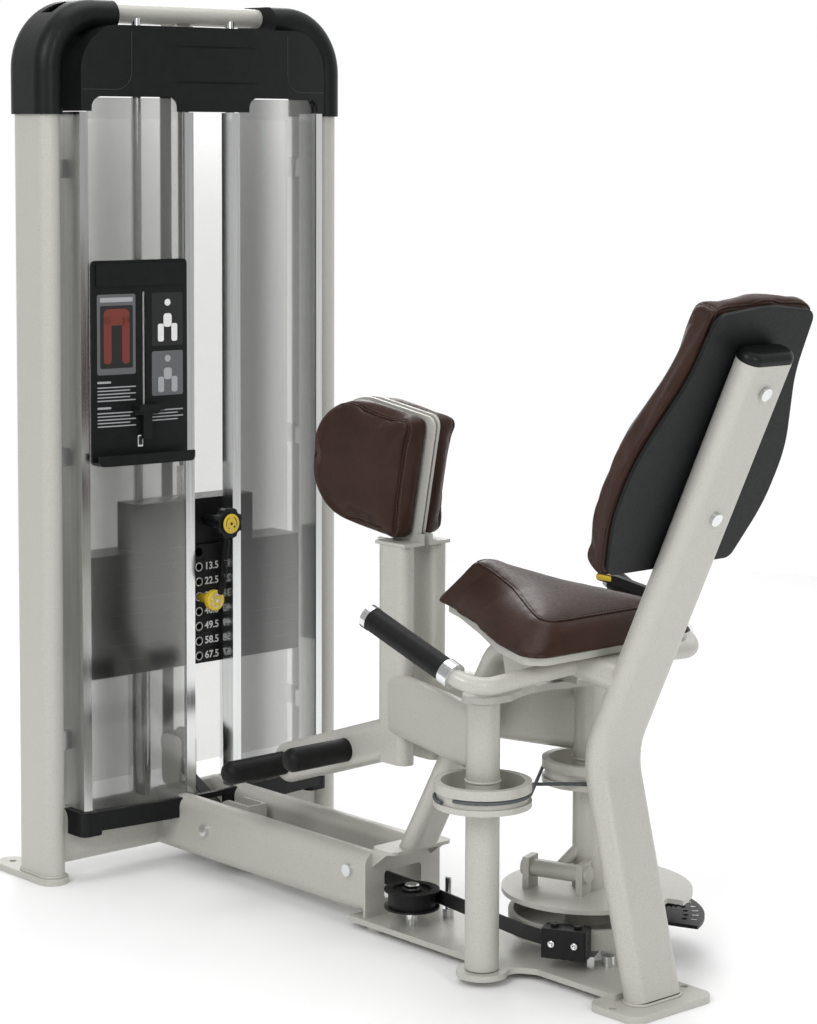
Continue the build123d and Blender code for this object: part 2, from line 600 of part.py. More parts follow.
SKIRT_TOP = SHIELD_BOTTOM
SKIRT_BOTTOM = 97.0
CORNER_CAP = (48.0, 76.0)
with BuildPart() as bottom_skirt:
    with BuildSketch(Plane.XY.offset(SKIRT_BOTTOM)):
        bowed_band(-CORNER_X, CORNER_X, 9, 8)
    extrude(amount=SKIRT_TOP - SKIRT_BOTTOM)
    for side in (-1, 1):
        with BuildSketch(Plane.XY.offset(SKIRT_BOTTOM - 9)):
            with Locations((side * (CORNER_X - CORNER_CAP[0] / 2 + 8), front_y(CORNER_X) + CORNER_CAP[1] / 2 - 11)):
                RectangleRounded(*CORNER_CAP, 12)
        extrude(amount=SKIRT_TOP - SKIRT_BOTTOM + 9)
    with BuildSketch(Plane.XY.offset(SKIRT_TOP - 3)):
        bowed_band(-SLOT_HALF, SLOT_HALF, 9, 9)
    extrude(amount=3)
    add(shields, mode=Mode.SUBTRACT)
    with BuildSketch(Plane.YZ.offset(-UPRIGHT_INNER_X)):
        with Locations((CROSS_Y, CROSS_Z)):
            oval(*FRAME_OVAL, 0, 90)
    extrude(amount=2 * UPRIGHT_INNER_X, mode=Mode.SUBTRACT)
    with Locations((0, FRONT_Y, SKIRT_BOTTOM + 11)):
        Box(36, 40, 30, mode=Mode.SUBTRACT)
    with BuildSketch(Plane.XZ.offset(-RAIL_END_Y)):
        with Locations((-RAIL_X, RAIL_Z), (RAIL_X, RAIL_Z)):
            oval(FRAME_OVAL[0], 112.0, 0, 90)
    extrude(amount=-(CROSS_Y - RAIL_END_Y), mode=Mode.SUBTRACT)
save(bottom_skirt.part, "bottom_skirt")

with BuildPart() as rear_shield:
    with BuildSketch(Plane.XY.offset(150)):
        with Locations((0, REAR_SHIELD_Y)):
            Rectangle(2 * UPRIGHT_INNER_X + 2, SHIELD_T)
    extrude(amount=1284)
    for side in (-1, 1):
        for z in TAB_ZS:
            with Locations((side * (UPRIGHT_INNER_X - 1), TOWER_Y + 41, z)):
                Box(4, 2 * (REAR_SHIELD_Y - TOWER_Y - 41), 40)
    add(uprights.part, mode=Mode.SUBTRACT)
save(rear_shield.part, "rear_shield")

CAP_IN_X = 187.0                    # inner end of each shoulder cap
CAP_OVAL = (58.0, 124.0)
CAP_WALL = 5.0
CAP_CROWN = 1654.0
CAP_BEND = 100.0


def cap_sweep(thin, wide, end_x):
    """Left shoulder-cap elbow of flat-oval section, up from the upright and in to end_x."""
    with BuildPart(mode=Mode.PRIVATE) as elbow:
        with BuildLine(Plane.XZ.offset(-TOWER_Y)) as cap_path:
            FilletPolyline(
                (-UPRIGHT_X, CAP_BOTTOM), (-UPRIGHT_X, CAP_CROWN - CAP_OVAL[0] / 2),
                (end_x, CAP_CROWN - CAP_OVAL[0] / 2), radius=CAP_BEND,
            )
        with BuildSketch(Plane.XY.offset(CAP_BOTTOM)):
            with Locations((-UPRIGHT_X, TOWER_Y)):
                oval(thin, wide, 0, 90)
        sweep(path=cap_path.line)
    return elbow.part


shoulder_elbows = both_sides(cap_sweep(*CAP_OVAL, -CAP_IN_X))
with BuildPart() as one_cap:
    add(cap_sweep(*CAP_OVAL, -CAP_IN_X))
    add(cap_sweep(CAP_OVAL[0] - 2 * CAP_WALL, CAP_OVAL[1] - 2 * CAP_WALL, -CAP_IN_X - CAP_WALL), mode=Mode.SUBTRACT)
    with BuildSketch(Plane.YZ.offset(-UPRIGHT_INNER_X)):
        with Locations((TOWER_Y, TOP_TUBE_Z)):
            Circle(TOP_TUBE_R)
    extrude(amount=2 * UPRIGHT_INNER_X, mode=Mode.SUBTRACT)
save(both_sides(one_cap.part), "shoulder_caps")

FASCIA_TOP, FASCIA_BOTTOM = 1606.0, 1447.0
ARCH_TOP = 1474.0
PILL = (280.0, 71.0, 1535.5)
FASCIA_HALF = 290.0
FASCIA_CORNER_R = 84.0
FASCIA_SIDE_Y = PIVOT_Y + 962.0
FASCIA_T = 5.0
FASCIA_PROUD = 8.0                  # front of the fascia before the shields
ARCH_MID_X, ARCH_W, ARCH_R = 177.0, 184.0, 20.0


def fascia_front(inset, below):
    """Front-view outline of the top fascia with rounded top corners, reaching below it, in the open sketch."""
    top = FASCIA_TOP - inset
    bottom = FASCIA_BOTTOM - below
    with Locations((0, (top + bottom) / 2)):
        Rectangle(2 * (FASCIA_HALF - inset), top - bottom)
    fillet(vertices().group_by(Axis.Y)[-1], FASCIA_CORNER_R - inset)


def fascia_core():
    """Hollow inside of the top fascia, open at the bottom and towards the wall."""
    with BuildPart(mode=Mode.PRIVATE) as core:
        with BuildSketch(Plane.XY.offset(FASCIA_BOTTOM - 1)):
            bowed_band(-FASCIA_HALF - 20, FASCIA_HALF + 20, FASCIA_PROUD - FASCIA_T, 400)
        extrude(amount=FASCIA_TOP - FASCIA_BOTTOM + 20)
        with BuildSketch(Plane.XZ.offset(-FRONT_Y + 60)):
            fascia_front(FASCIA_T, 20)
        extrude(amount=-600, mode=Mode.INTERSECT)
    return core.part


with BuildPart() as top_fascia:
    with BuildSketch(Plane.XY.offset(FASCIA_BOTTOM)):
        bowed_band(-FASCIA_HALF - 20, FASCIA_HALF + 20, FASCIA_PROUD, FASCIA_SIDE_Y - FRONT_Y)
    extrude(amount=FASCIA_TOP - FASCIA_BOTTOM + 20)
    with BuildSketch(Plane.XZ.offset(-FRONT_Y + 60)):
        fascia_front(0, 20)
    extrude(amount=-300, mode=Mode.INTERSECT)
    add(fascia_core(), mode=Mode.SUBTRACT)
    with BuildSketch(Plane.XZ.offset(-FRONT_Y + 60)):
        with Locations(*[(side * ARCH_MID_X, (FASCIA_BOTTOM + ARCH_TOP - ARCH_R) / 2) for side in (-1, 1)]):
            RectangleRounded(ARCH_W, ARCH_TOP - FASCIA_BOTTOM + ARCH_R, ARCH_R)
    extrude(amount=-100, mode=Mode.SUBTRACT)
    with BuildSketch(Plane.XZ.offset(-FRONT_Y + 20)):
        with Locations((0, PILL[2])):
            SlotOverall(PILL[0], PILL[1])
            SlotOverall(PILL[0] - 8, PILL[1] - 8, mode=Mode.SUBTRACT)
    extrude(amount=-15.5, mode=Mode.SUBTRACT)
    add(shoulder_elbows, mode=Mode.SUBTRACT)
save(top_fascia.part, "top_fascia")

PLACARD_X = (-273.0, -68.0)
PLACARD_Z = (789.0, 1171.0)
PLACARD_R = 9.0
SLIDE_X = -163.0
SLIDE_Z = (890.0, 1112.0)
with BuildPart() as placard:
    wide = (PLACARD_X[0] - 3, PLACARD_X[1] + 3)
    with BuildSketch(Plane.XY.offset(PLACARD_Z[0] - 3)):
        bowed_band(*wide, 9, 5)
    extrude(amount=PLACARD_Z[1] - PLACARD_Z[0] + 6)
    with BuildSketch(Plane.XY.offset(PLACARD_Z[0])):
        bowed_band(*wide, 34, 28)
    extrude(amount=7)
    with BuildSketch(Plane.XY.offset(PLACARD_Z[0])):
        bowed_band(*wide, 34, 5)
    extrude(amount=20)
    with BuildSketch(Plane.XY.offset(PLACARD_Z[1] - 48)):
        bowed_band(PLACARD_X[0] + 8, PLACARD_X[1] - 8, 13, 5)
    extrude(amount=42)
    with BuildSketch(Plane.XY.offset(PLACARD_Z[0] + 30)):
        bowed_band(PLACARD_X[0] + 24, PLACARD_X[0] + 44, 4.5, 3)
        bowed_band(PLACARD_X[1] - 22, PLACARD_X[1] - 2, 4.5, 2)
    extrude(amount=PLACARD_Z[1] - PLACARD_Z[0] - 60)
    with BuildSketch(Plane.XZ.offset(-FRONT_Y + 60)):
        with Locations((sum(PLACARD_X) / 2, sum(PLACARD_Z) / 2)):
            RectangleRounded(PLACARD_X[1] - PLACARD_X[0], PLACARD_Z[1] - PLACARD_Z[0], PLACARD_R)
    extrude(amount=-200, mode=Mode.INTERSECT)
    with BuildSketch(Plane.XZ.offset(-FRONT_Y + 30)):
        with Locations((SLIDE_X, sum(SLIDE_Z) / 2)):
            SlotOverall(SLIDE_Z[1] - SLIDE_Z[0], 7, rotation=90)
    extrude(amount=-80, mode=Mode.SUBTRACT)
save(placard.part, "placard")

CLAMP_Y = front_y(SLIDE_X + 29, 9.4)
CLAMP_Z = SLIDE_Z[0] + 5.0
with BuildPart() as device_clamp:
    with BuildSketch(Plane.XZ.offset(-CLAMP_Y)):
        with Locations((SLIDE_X, CLAMP_Z - 28)):
            RectangleRounded(20, 66, 6)
        with Locations((SLIDE_X, CLAMP_Z - 4)):
            RectangleRounded(58, 20, 6)
    extrude(amount=8)
    with BuildSketch(Plane.XZ.offset(-CLAMP_Y)):
        with Locations((SLIDE_X, CLAMP_Z)):
            RectangleRounded(58, 12, 4)
    extrude(amount=24)
    with BuildSketch(Plane.XZ.offset(-CLAMP_Y)):
        with Locations((SLIDE_X, CLAMP_Z)):
            Circle(3.2)
    extrude(amount=-6)
save(device_clamp.part, "device_clamp")

# ---------------------------------------------------------------- weight stack
STACK_TOP = STACK_BOTTOM + PLATE_PITCH * (RESTING + LIFTED)
PIN_Z = STACK_BOTTOM + PLATE_PITCH * RESTING + (PLATE_PITCH - PLATE_GAP) / 2
PLATE_T = PLATE_PITCH - PLATE_GAP
with BuildPart() as guide_rods:
    with BuildSketch(Plane.XY.offset(100)):
        with Locations((-ROD_X, STACK_Y), (ROD_X, STACK_Y)):
            Circle(ROD_R)
    extrude(amount=TOP_TUBE_Z - 4 - 100)
    with BuildSketch(Plane.XY.offset(100)):
        with Locations((-ROD_X, STACK_Y), (ROD_X, STACK_Y)):
            Circle(ROD_R + 12)
    extrude(amount=STACK_BOTTOM - PLATE_GAP - 100)
    with BuildSketch(Plane.YZ.offset(-UPRIGHT_INNER_X)):
        with Locations((CROSS_Y, CROSS_Z)):
            oval(*FRAME_OVAL, 0, 90)
        with Locations((TOWER_Y, TOP_TUBE_Z)):
            Circle(TOP_TUBE_R)
    extrude(amount=2 * UPRIGHT_INNER_X, mode=Mode.SUBTRACT)
save(guide_rods.part, "guide_rods")


def weight_plates(first, count):
    """Loose weight plates, numbered from the bottom, with rod, stem and pin holes."""
    with BuildPart() as plates:
        for index in range(first, first + count):
            z = STACK_BOTTOM + PLATE_PITCH * index
            with BuildSketch(Plane.XY.offset(z)):
                with Locations((0, STACK_Y - 3)):
                    RectangleRounded(PLATE_W, PLATE_D, 3)
                with Locations((-ROD_X, STACK_Y), (ROD_X, STACK_Y)):
                    Circle(ROD_R + RUN_GAP, mode=Mode.SUBTRACT)
                with Locations((0, STACK_Y)):
                    Circle(STEM_R + RUN_GAP, mode=Mode.SUBTRACT)
            extrude(amount=PLATE_T)
            with BuildSketch(Plane.XZ.offset(-(STACK_Y - 60))):
                with Locations((0, z + PLATE_T / 2)):
                    Circle(PIN_R + RUN_GAP)
            extrude(amount=-90, mode=Mode.SUBTRACT)
    return plates.part


save(weight_plates(0, RESTING), "resting_plates")
save(weight_plates(RESTING, LIFTED), "lifted_plates")

HEAD_TOP = 700.0
with BuildPart() as head_plate:
    with BuildSketch(Plane.XY.offset(STACK_TOP)):
        with Locations((0, STACK_Y - 3)):
            RectangleRounded(PLATE_W, PLATE_D, 3)
        with Locations((-ROD_X, STACK_Y), (ROD_X, STACK_Y)):
            Circle(ROD_R + RUN_GAP, mode=Mode.SUBTRACT)
    extrude(amount=PLATE_T)
    with BuildSketch(Plane.XY.offset(STACK_TOP + PLATE_T)):
        with Locations((0, STACK_Y - 3)):
            RectangleRounded(2 * ROD_X + 60, PLATE_D - 14, 8)
        with Locations((-ROD_X, STACK_Y), (ROD_X, STACK_Y)):
            Circle(ROD_R + RUN_GAP, mode=Mode.SUBTRACT)
    extrude(amount=HEAD_TOP - STACK_TOP - PLATE_T)
    with BuildSketch(Plane.XY.offset(STACK_TOP)):
        with Locations((0, STACK_Y)):
            Circle(STEM_R)
    extrude(amount=HEAD_TOP - STACK_TOP, mode=Mode.SUBTRACT)
    with BuildSketch(Plane.XZ.offset(-(STACK_Y - 60))):
        with Locations((0, STACK_TOP + PLATE_T / 2)):
            Circle(PIN_R + 4)
    extrude(amount=-40, mode=Mode.SUBTRACT)
save(head_plate.part, "head_plate")

STEM_BOTTOM = STACK_BOTTOM + 4.0
ANCHOR_TOP = 762.0
with BuildPart() as selector_stem:
    with BuildSketch(Plane.XY.offset(STEM_BOTTOM)):
        with Locations((0, STACK_Y)):
            Circle(STEM_R)
    extrude(amount=HEAD_TOP + 6 - STEM_BOTTOM)
    for index in range(RESTING + LIFTED):
        with BuildSketch(Plane.XZ.offset(-(STACK_Y - 30))):
            with Locations((0, STACK_BOTTOM + PLATE_PITCH * index + PLATE_T / 2)):
                Circle(PIN_R + RUN_GAP)
        extrude(amount=-60, mode=Mode.SUBTRACT)
    with BuildSketch(Plane.XY.offset(HEAD_TOP)):
        with Locations((0, STACK_Y)):
            RectangleRounded(29, 18, 3)
    extrude(amount=ANCHOR_TOP - HEAD_TOP)
save(selector_stem.part, "selector_stem")

DIAL_X, DIAL_Z = 22.0, 658.0
DIAL_Y = PIVOT_Y + 869.0
HEAD_FRONT_Y = STACK_Y - 3 - (PLATE_D - 14) / 2
DIAL_R = 30.0
with BuildPart() as add_on_dial:
    with BuildSketch(Plane.XZ.offset(-DIAL_Y)):
        with Locations((DIAL_X, DIAL_Z)):
            Circle(DIAL_R)
            with PolarLocations(DIAL_R + 6, 8):
                Circle(9.5, mode=Mode.SUBTRACT)
    extrude(amount=-17)
    with BuildSketch(Plane.XZ.offset(-DIAL_Y)):
        with Locations((DIAL_X, DIAL_Z)):
            Circle(20)
    extrude(amount=3)
    with BuildSketch(Plane.XZ.offset(-DIAL_Y - 17)):
        with Locations((DIAL_X, DIAL_Z)):
            Circle(11)
    extrude(amount=-(HEAD_FRONT_Y - DIAL_Y - 17.3))
save(add_on_dial.part, "add_on_dial")

PIN_HEAD_Y = PIVOT_Y + 884.0
with BuildPart() as selector_pin:
    with BuildSketch(Plane.XZ.offset(-PIN_HEAD_Y)):
        with Locations((0, PIN_Z)):
            Circle(20)
    extrude(amount=-14)
    chamfer(selector_pin.edges().filter_by(GeomType.CIRCLE), 2)
    with BuildSketch(Plane.XZ.offset(-PIN_HEAD_Y - 14)):
        with Locations((0, PIN_Z)):
            Circle(9)
    extrude(amount=-30)
    with BuildSketch(Plane.XZ.offset(-PIN_HEAD_Y - 14)):
        with Locations((0, PIN_Z)):
            Circle(PIN_R)
    extrude(amount=-(STACK_Y + 16 - PIN_HEAD_Y - 14))
save(selector_pin.part, "selector_pin")

CORD_R = 6.5
with BuildPart() as pin_lanyard:
    with BuildLine() as cord_path:
        Spline(
            (DIAL_X - 16, DIAL_Y - 12, DIAL_Z - 26), (DIAL_X - 32, DIAL_Y - 24, 600), (DIAL_X - 34, DIAL_Y - 25, 556),
            (2, PIN_HEAD_Y - 10, PIN_Z + 15), tangents=((-0.2, -0.5, -1), (0.3, 0.9, -0.6)),
        )
    with BuildSketch(Plane(origin=cord_path.line @ 0, z_dir=cord_path.line % 0)):
        Circle(CORD_R)
    sweep()
save(pin_lanyard.part, "pin_lanyard")

# ---------------------------------------------------------------- belt and pulleys
BRIDGE_BELT_R = BRIDGE_PULLEY_R + BELT_GAP + BELT_T / 2


def touch(start, centre, radius, side):
    """Point where the line from start touches the circle; side +1 keeps the centre on the left."""
    gap = hypot(centre[0] - start[0], centre[1] - start[1])
    turn = atan2(radius, (gap * gap - radius * radius) ** 0.5)
    way = atan2(centre[1] - start[1], centre[0] - start[0]) - side * turn
    run = (gap * gap - radius * radius) ** 0.5
    return (start[0] + run * cos(way), start[1] + run * sin(way))


def on_circle(centre, radius, angle):
    """Point on a circle at an angle in radians."""
    return (centre[0] + radius * cos(angle), centre[1] + radius * sin(angle))


BELT_FRONT = (3.0, PIVOT_Y + 383.0)
BELT_REAR = (-37.5, PIVOT_Y - 8.0)
BELT_END = (-36.0, PIVOT_Y - 56.0)
IDLER = (IDLER_X, IDLER_Y)
IDLER_BELT_R = IDLER_R + BELT_GAP + BELT_T / 2
TWIST_TO_Y = BRIDGE_PULLEY[0] - 45
with BuildPart() as drive_belt:
    side_in = touch(BELT_FRONT, IDLER, IDLER_BELT_R, -1)
    side_out = touch(BELT_REAR, IDLER, IDLER_BELT_R, 1)
    with BuildLine(Plane.XY.offset(BELT_Z)) as plan_path:
        Line(BELT_FRONT, side_in)
        turn_in = atan2(side_in[1] - IDLER_Y, side_in[0] - IDLER_X)
        turn_out = atan2(side_out[1] - IDLER_Y, side_out[0] - IDLER_X)
        ThreePointArc(side_in, on_circle(IDLER, IDLER_BELT_R, (turn_in + turn_out) / 2), side_out)
        Line(side_out, BELT_REAR)
        Line(BELT_REAR, BELT_END)
    with BuildSketch(Plane(origin=plan_path.line @ 0, x_dir=(0, 0, 1), z_dir=plan_path.line % 0)):
        Rectangle(BELT_W, BELT_T)
    sweep(transition=Transition.ROUND)
    steps = 6
    for step in range(steps + 1):
        part_way = step / steps
        x = BELT_FRONT[0] * (1 - part_way)
        y = BELT_FRONT[1] + (TWIST_TO_Y - BELT_FRONT[1]) * part_way
        with BuildSketch(Plane(origin=(x, y, BELT_Z), x_dir=(1, 0, 0), z_dir=(0, 1, 0))):
            Rectangle(BELT_T, BELT_W, rotation=90 * part_way)
    loft(ruled=True)
    bridge_out = touch(on_circle(LOWER_PULLEY, 0, 0), BRIDGE_PULLEY, BRIDGE_BELT_R, 1)
    with BuildLine(Plane.YZ) as side_path:
        lead = Line((TWIST_TO_Y, BELT_Z), (BRIDGE_PULLEY[0], BRIDGE_PULLEY[1] - BRIDGE_BELT_R))
        slope = atan2(LOWER_PULLEY[1] - BRIDGE_PULLEY[1], LOWER_PULLEY[0] - BRIDGE_PULLEY[0])
        gap = hypot(LOWER_PULLEY[1] - BRIDGE_PULLEY[1], LOWER_PULLEY[0] - BRIDGE_PULLEY[0])
        lean = slope + atan((BRIDGE_BELT_R - BELT_R) / gap)
        leave = on_circle(BRIDGE_PULLEY, BRIDGE_BELT_R, lean - pi / 2)
        meet = on_circle(LOWER_PULLEY, BELT_R, lean - pi / 2)
        ThreePointArc(lead @ 1, on_circle(BRIDGE_PULLEY, BRIDGE_BELT_R, lean / 2 - pi / 2), leave)
        Line(leave, meet)
        ThreePointArc(meet, on_circle(LOWER_PULLEY, BELT_R, lean / 2 - pi / 4), on_circle(LOWER_PULLEY, BELT_R, 0))
        Line(on_circle(LOWER_PULLEY, BELT_R, 0), on_circle(TOP_PULLEY, BELT_R, 0))
        ThreePointArc(
            on_circle(TOP_PULLEY, BELT_R, 0), on_circle(TOP_PULLEY, BELT_R, pi / 2), on_circle(TOP_PULLEY, BELT_R, pi)
        )
    with BuildSketch(Plane(origin=side_path.line @ 0, x_dir=(1, 0, 0), z_dir=side_path.line % 0)):
        Rectangle(BELT_W, BELT_T)
    sweep(path=side_path.line)
save(drive_belt.part, "drive_belt")

with BuildPart() as lift_belt:
    with BuildSketch(Plane.XY.offset(ANCHOR_TOP + BELT_GAP)):
        with Locations((0, STACK_Y)):
            Rectangle(BELT_W, BELT_T)
    extrude(amount=TOP_PULLEY[1] - ANCHOR_TOP - 2 * BELT_GAP)
save(lift_belt.part, "lift_belt")


def pulley(centre, groove, flange, name):
    """Flat-belt pulley with flanges, turning about an axle along X."""
    with BuildPart() as wheel:
        with BuildSketch(Plane.YZ.offset(-15.5)):
            with Locations(centre):
                Circle(groove)
        extrude(amount=31)
        for side in (-1, 1):
            with BuildSketch(Plane.YZ.offset(side * 13.5)):
                with Locations(centre):
                    Circle(flange)
            extrude(amount=side * 2)
        with BuildSketch(Plane.YZ.offset(-20)):
            with Locations(centre):
                Circle(AXLE_R + RUN_GAP)
        extrude(amount=40, mode=Mode.SUBTRACT)
    save(wheel.part, name)


pulley(TOP_PULLEY, PULLEY_R, PULLEY_FLANGE, "top_pulley")
pulley(LOWER_PULLEY, PULLEY_R, PULLEY_FLANGE, "lower_pulley")
pulley(BRIDGE_PULLEY, BRIDGE_PULLEY_R, BRIDGE_PULLEY_R + 5, "bridge_pulley")

POST_AXLE_R = 8.0
PULLEY_Z = (53.0, 87.0)
GUARD = (31.0, PIVOT_Y + 253.0)
with BuildPart() as belt_posts:
    with BuildSketch(Plane.XY.offset(BASE_TOP)):
        with Locations(IDLER):
            Circle(11)
    extrude(amount=PULLEY_Z[0] - BASE_TOP - 0.3)
    with BuildSketch(Plane.XY.offset(BASE_TOP)):
        with Locations(IDLER):
            Circle(POST_AXLE_R)
    extrude(amount=PULLEY_Z[1] - BASE_TOP + 0.4)
    with BuildSketch(Plane.XY.offset(PULLEY_Z[1] + 0.4)):
        with Locations(IDLER):
            Circle(13)
    extrude(amount=8)
    with BuildSketch(Plane.XY.offset(BASE_TOP)):
        with Locations(GUARD):
            Circle(6)
    extrude(amount=73)
    with BuildSketch(Plane.XY.offset(BASE_TOP)):
        with Locations(GUARD):
            Circle(10)
    extrude(amount=16)
    chamfer(belt_posts.faces().filter_by(Axis.Z).sort_by(Axis.Z)[-2:].edges(), 2)
    with BuildSketch(Plane.XY.offset(BASE_TOP)):
        with Locations(Location((30, PIVOT_Y - 108, 0), (0, 0, 30))):
            Rectangle(44, 12)
    extrude(amount=20)
    with BuildSketch(Plane.XY.offset(BASE_TOP)):
        with Locations((44, PIVOT_Y - 128)):
            Circle(11)
    extrude(amount=18)
save(belt_posts.part, "belt_posts")

with BuildPart() as idler_pulley:
    with BuildSketch(Plane.XY.offset(PULLEY_Z[0])):
        with Locations(IDLER):
            Circle(IDLER_R)
            Circle(POST_AXLE_R + RUN_GAP, mode=Mode.SUBTRACT)
    extrude(amount=PULLEY_Z[1] - PULLEY_Z[0])
    for z in (PULLEY_Z[0], PULLEY_Z[1] - 3.5):
        with BuildSketch(Plane.XY.offset(z)):
            with Locations(IDLER):
                Circle(IDLER_R + 7)
                Circle(POST_AXLE_R + RUN_GAP, mode=Mode.SUBTRACT)
        extrude(amount=3.5)
    with BuildSketch(Plane.XY.offset(PULLEY_Z[1] - 4)):
        with Locations(IDLER):
            Circle(IDLER_R - 8)
            Circle(18, mode=Mode.SUBTRACT)
    extrude(amount=4, mode=Mode.SUBTRACT)
save(idler_pulley.part, "idler_pulley")

# ---------------------------------------------------------------- cam
CAM_C = (PIVOT_X + CAM_OFF * cos(CAM_DIR), PIVOT_Y + CAM_OFF * sin(CAM_DIR))
CAM_WALL = 9.0
HUB_R = 40.0
with BuildPart() as drive_cam:
    with BuildSketch(Plane.XY.offset(CAM_Z[0])):
        with Locations(CAM_C):
            Circle(CAM_R)
    extrude(amount=CAM_Z[1] - CAM_Z[0])
    with BuildSketch(Plane.XY.offset(CAM_Z[0] + 7)):
        with Locations(CAM_C):
            Circle(CAM_R - CAM_WALL)
    extrude(amount=40, mode=Mode.SUBTRACT)
    with BuildSketch(Plane.XY.offset(CAM_Z[0])):
        with Locations((PIVOT_X, PIVOT_Y)):
            Circle(HUB_R)
    extrude(amount=SECTOR_Z[0] - 0.4 - CAM_Z[0])
    with BuildSketch(Plane.XY.offset(CAM_Z[0] - 5)):
        with Locations((PIVOT_X, PIVOT_Y)):
            Circle(PIVOT_R + RUN_GAP)
    extrude(amount=100, mode=Mode.SUBTRACT)
save(drive_cam.part, "drive_cam")

CLAMP = ((-26.0, PIVOT_Y - 98.0), 77.0, 36.0)     # middle, length, depth
CLAMP_ANGLE = degrees(atan2(-0.89, 0.46))
with BuildPart() as belt_clamp:
    with BuildSketch(Plane.XY.offset(45)):
        with Locations(CLAMP[0]):
            RectangleRounded(CLAMP[1], CLAMP[2], 3, rotation=CLAMP_ANGLE)
        with Locations(CAM_C):
            Circle(CAM_R, mode=Mode.SUBTRACT)
    extrude(amount=50)
    with BuildSketch(Plane.XY.offset(95)):
        with Locations(Location((*CLAMP[0], 0), (0, 0, CLAMP_ANGLE))):
            with Locations((-20, 0), (20, 0)):
                Circle(7)
    extrude(amount=5)
save(belt_clamp.part, "belt_clamp")


def ring_sector(r_in, r_out, start, stop):
    """Ring sector about the right pivot between two angles in degrees, in the open sketch."""
    a, b = radians(start), radians(stop)
    c = (PIVOT_X, PIVOT_Y)
    with BuildLine() as edge_line:
        ThreePointArc(on_circle(c, r_out, a), on_circle(c, r_out, (a + b) / 2), on_circle(c, r_out, b))
        ThreePointArc(on_circle(c, r_in, a), on_circle(c, r_in, (a + b) / 2), on_circle(c, r_in, b))
        Line(on_circle(c, r_in, a), on_circle(c, r_out, a))
        Line(on_circle(c, r_in, b), on_circle(c, r_out, b))
    make_face(edge_line.edges())


with BuildPart() as number_plate:
    with BuildSketch(Plane.XY.offset(66)):
        ring_sector(70, 200, -68, -14)
        with Locations(CAM_C):
            Circle(CAM_R, mode=Mode.SUBTRACT)
        for angle in range(-58, -19, 8):
            with Locations(on_circle((PIVOT_X, PIVOT_Y), 168, radians(angle))):
                Circle(5, mode=Mode.SUBTRACT)
    extrude(amount=6)
save(number_plate.part, "number_plate")

# ---------------------------------------------------------------- pivots
AXLE_SHAFT_R = 12.0
with BuildPart() as pivot_axles:
    with BuildSketch(Plane.XY.offset(BASE_TOP)):
        with Locations((-PIVOT_X, PIVOT_Y), (PIVOT_X, PIVOT_Y)):
            Circle(AXLE_SHAFT_R)
    extrude(amount=TOP_PLATE_Z + TOP_PLATE_T - BASE_TOP)
save(pivot_axles.part, "pivot_axles")

CABLE_R = 3.0
DRUM_GROOVE_R = 77.0
CABLE_RUN_R = DRUM_GROOVE_R + CABLE_R + 0.4
CABLE_ZS = (314.2, 321.8)


def pivot_tube(side):
    """Pivot tube with end bushes and cable drum about one arm pivot."""
    centre = (side * PIVOT_X, PIVOT_Y)
    with BuildPart() as tube:
        with BuildSketch(Plane.XY.offset(BASE_TOP + 2)):
            with Locations(centre):
                Circle(PIVOT_R)
                Circle(PIVOT_R - PIVOT_WALL, mode=Mode.SUBTRACT)
        extrude(amount=TOP_PLATE_Z - BASE_TOP - 4)
        for z, height in ((BASE_TOP + 0.4, 34), (TOP_PLATE_Z - 34.4, 34)):
            with BuildSketch(Plane.XY.offset(z)):
                with Locations(centre):
                    Circle(PIVOT_R - PIVOT_WALL)
                    Circle(AXLE_SHAFT_R + RUN_GAP, mode=Mode.SUBTRACT)
            extrude(amount=height)
        with BuildSketch(Plane.XY.offset(DRUM_Z[0])):
            with Locations(centre):
                Circle(DRUM_R)
                Circle(PIVOT_R, mode=Mode.SUBTRACT)
        extrude(amount=DRUM_Z[1] - DRUM_Z[0])
        with BuildSketch(Plane.XY.offset(DRUM_Z[0] + 9)):
            with Locations(centre):
                Circle(DRUM_GROOVE_R - 7)
                Circle(PIVOT_R, mode=Mode.SUBTRACT)
        extrude(amount=60, mode=Mode.SUBTRACT)
        with BuildSketch(Plane.XY.offset(CABLE_ZS[0] - 4.2)):
            with Locations(centre):
                Circle(DRUM_R + 5)
                Circle(DRUM_GROOVE_R, mode=Mode.SUBTRACT)
        extrude(amount=CABLE_ZS[1] - CABLE_ZS[0] + 8.4, mode=Mode.SUBTRACT)
    return tube.part


save(pivot_tube(-1), "left_pivot_tube")
save(pivot_tube(1), "right_pivot_tube")

with BuildPart() as sync_cable:
    cross = atan2((4 * PIVOT_X**2 - 4 * CABLE_RUN_R**2) ** 0.5, 2 * CABLE_RUN_R)
    for way, z in ((1, CABLE_ZS[0]), (-1, CABLE_ZS[1])):
        left, right = (-PIVOT_X, PIVOT_Y), (PIVOT_X, PIVOT_Y)
        with BuildLine(Plane.XY.offset(z)) as cable_path:
            leave = on_circle(left, CABLE_RUN_R, way * cross)
            meet = on_circle(right, CABLE_RUN_R, pi + way * cross)
            ThreePointArc(
                on_circle(left, CABLE_RUN_R, way * radians(170)),
                on_circle(left, CABLE_RUN_R, way * (radians(170) + cross) / 2), leave,
            )
            Line(leave, meet)
            ThreePointArc(
                meet, on_circle(right, CABLE_RUN_R, way * (radians(350) + pi + cross) / 2),
                on_circle(right, CABLE_RUN_R, way * radians(350)),
            )
        with BuildSketch(Plane(origin=cable_path.line @ 0, z_dir=cable_path.line % 0)):
            Circle(CABLE_R)
        sweep()
save(sync_cable.part, "sync_cable")

